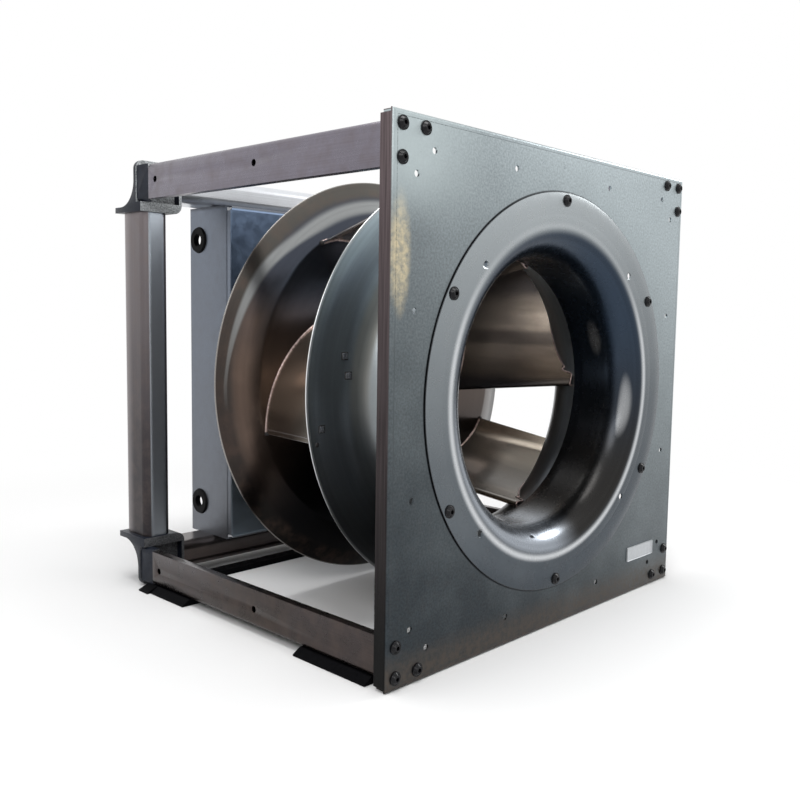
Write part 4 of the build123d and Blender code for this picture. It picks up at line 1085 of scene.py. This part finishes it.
# %% Weld beads and the tails' double line
disc_bead, shroud_bead, burnt_drop = 0.0023, 0.0016, 0.0042
tail_bead, second_bead, second_line = 0.0011, 0.0007, (0.976, -0.1)
seams = [
    bead(section_seam(disc_side), disc_bead, weld_steel),
    bead(section_seam(shroud_side), shroud_bead, weld_steel),
    bead(tail_points(1.0, skin), tail_bead, ground_steel),
    bead(tail_points(*second_line), second_bead, ground_steel),
]
for side in (disc_side, shroud_side):
    bpy.ops.mesh.primitive_uv_sphere_add(segments=16, ring_count=8, radius=burnt_drop,
                                         location=placed(meet(1.0, skin, side), 1.0, skin))
    drop = bpy.context.object
    bpy.ops.object.transform_apply()
    bpy.ops.object.shade_smooth()
    drop.data.materials.append(burnt_steel)
    seams.append(drop)
welds = turned_copies(joined(seams, "weld_bead_1"), "weld_bead")
for part in welds:
    finish_piece(part, "rotor", "impeller_sheet")
print("weld faces", len(welds[0].data.polygons))

# %% Tabs of the blades, which stand a little proud of the shroud, each on a burnt patch
tab_places = ((264.0, 168.6, 183.2, 0.15), (255.0, 174.4, 181.2, 0.29), (302.0, 189.0, 184.6, 0.0))
tab_layers = ((0.0085, 0.0024, ground_steel), (0.0112, 0.0010, burnt_steel))
tab_edge = 0.0004
tabs = []
for tab_r, degrees, depth, slope in tab_places:
    turn = math.radians(degrees)
    way = round_axis(slope, turn, -math.sqrt(1 - slope ** 2))
    for side, rise, material in tab_layers:
        bpy.ops.mesh.primitive_cube_add(size=1, location=round_axis(tab_r / 1000, turn, depth / 1000))
        tab = bpy.context.object
        tab.scale = (side, side, rise)
        tab.rotation_mode = "QUATERNION"
        tab.rotation_quaternion = way.to_track_quat("Z", "Y")
        bpy.ops.object.transform_apply()
        apply_modifier(tab, "BEVEL", width=tab_edge, segments=2)
        smooth(tab, 40)
        tab.data.materials.append(material)
        tabs.append(tab)
for part in turned_copies(joined(tabs, "shroud_tabs_1"), "shroud_tabs"):
    finish_piece(part, "rotor", "impeller_sheet")
print("tabs", blade_count * len(tab_places))

# %% [markdown]
# ## Blank plate
# A thin rounded slip of aluminium foil lies on the zinc, low on the right. It is blank.

# %% Blank plate
foil, foil_corner = 0.0004, 0.002
low_corner, high_corner = Vector((0.2093, 0, -0.2952)), Vector((0.2923, 0, -0.2716))
middle = (low_corner + high_corner) / 2
bpy.ops.mesh.primitive_cube_add(size=1, location=(middle.x, -foil / 2, middle.z))
label = bpy.context.object
label.name = "blank_plate"
label.scale = (high_corner.x - low_corner.x, foil, high_corner.z - low_corner.z)
bpy.ops.object.transform_apply()
bpy.ops.object.mode_set(mode="EDIT")
bpy.ops.mesh.select_all(action="DESELECT")
leave_edit()
for edge in label.data.edges:
    ends = [label.data.vertices[i].co for i in edge.vertices]
    edge.select = abs(ends[0].y - ends[1].y) > foil / 4
bpy.ops.object.mode_set(mode="EDIT")
bpy.ops.mesh.bevel(offset=foil_corner, segments=5)
leave_edit()
label.data.materials.append(label_silver)
finish_piece(label, "frame", "galvanised_sheet")
print("blank plate faces", len(label.data.polygons))

# %% [markdown]
# ## View
# The colours are shown as they are, without a film look.

# %% View transform
bpy.context.scene.view_settings.view_transform = "Standard"
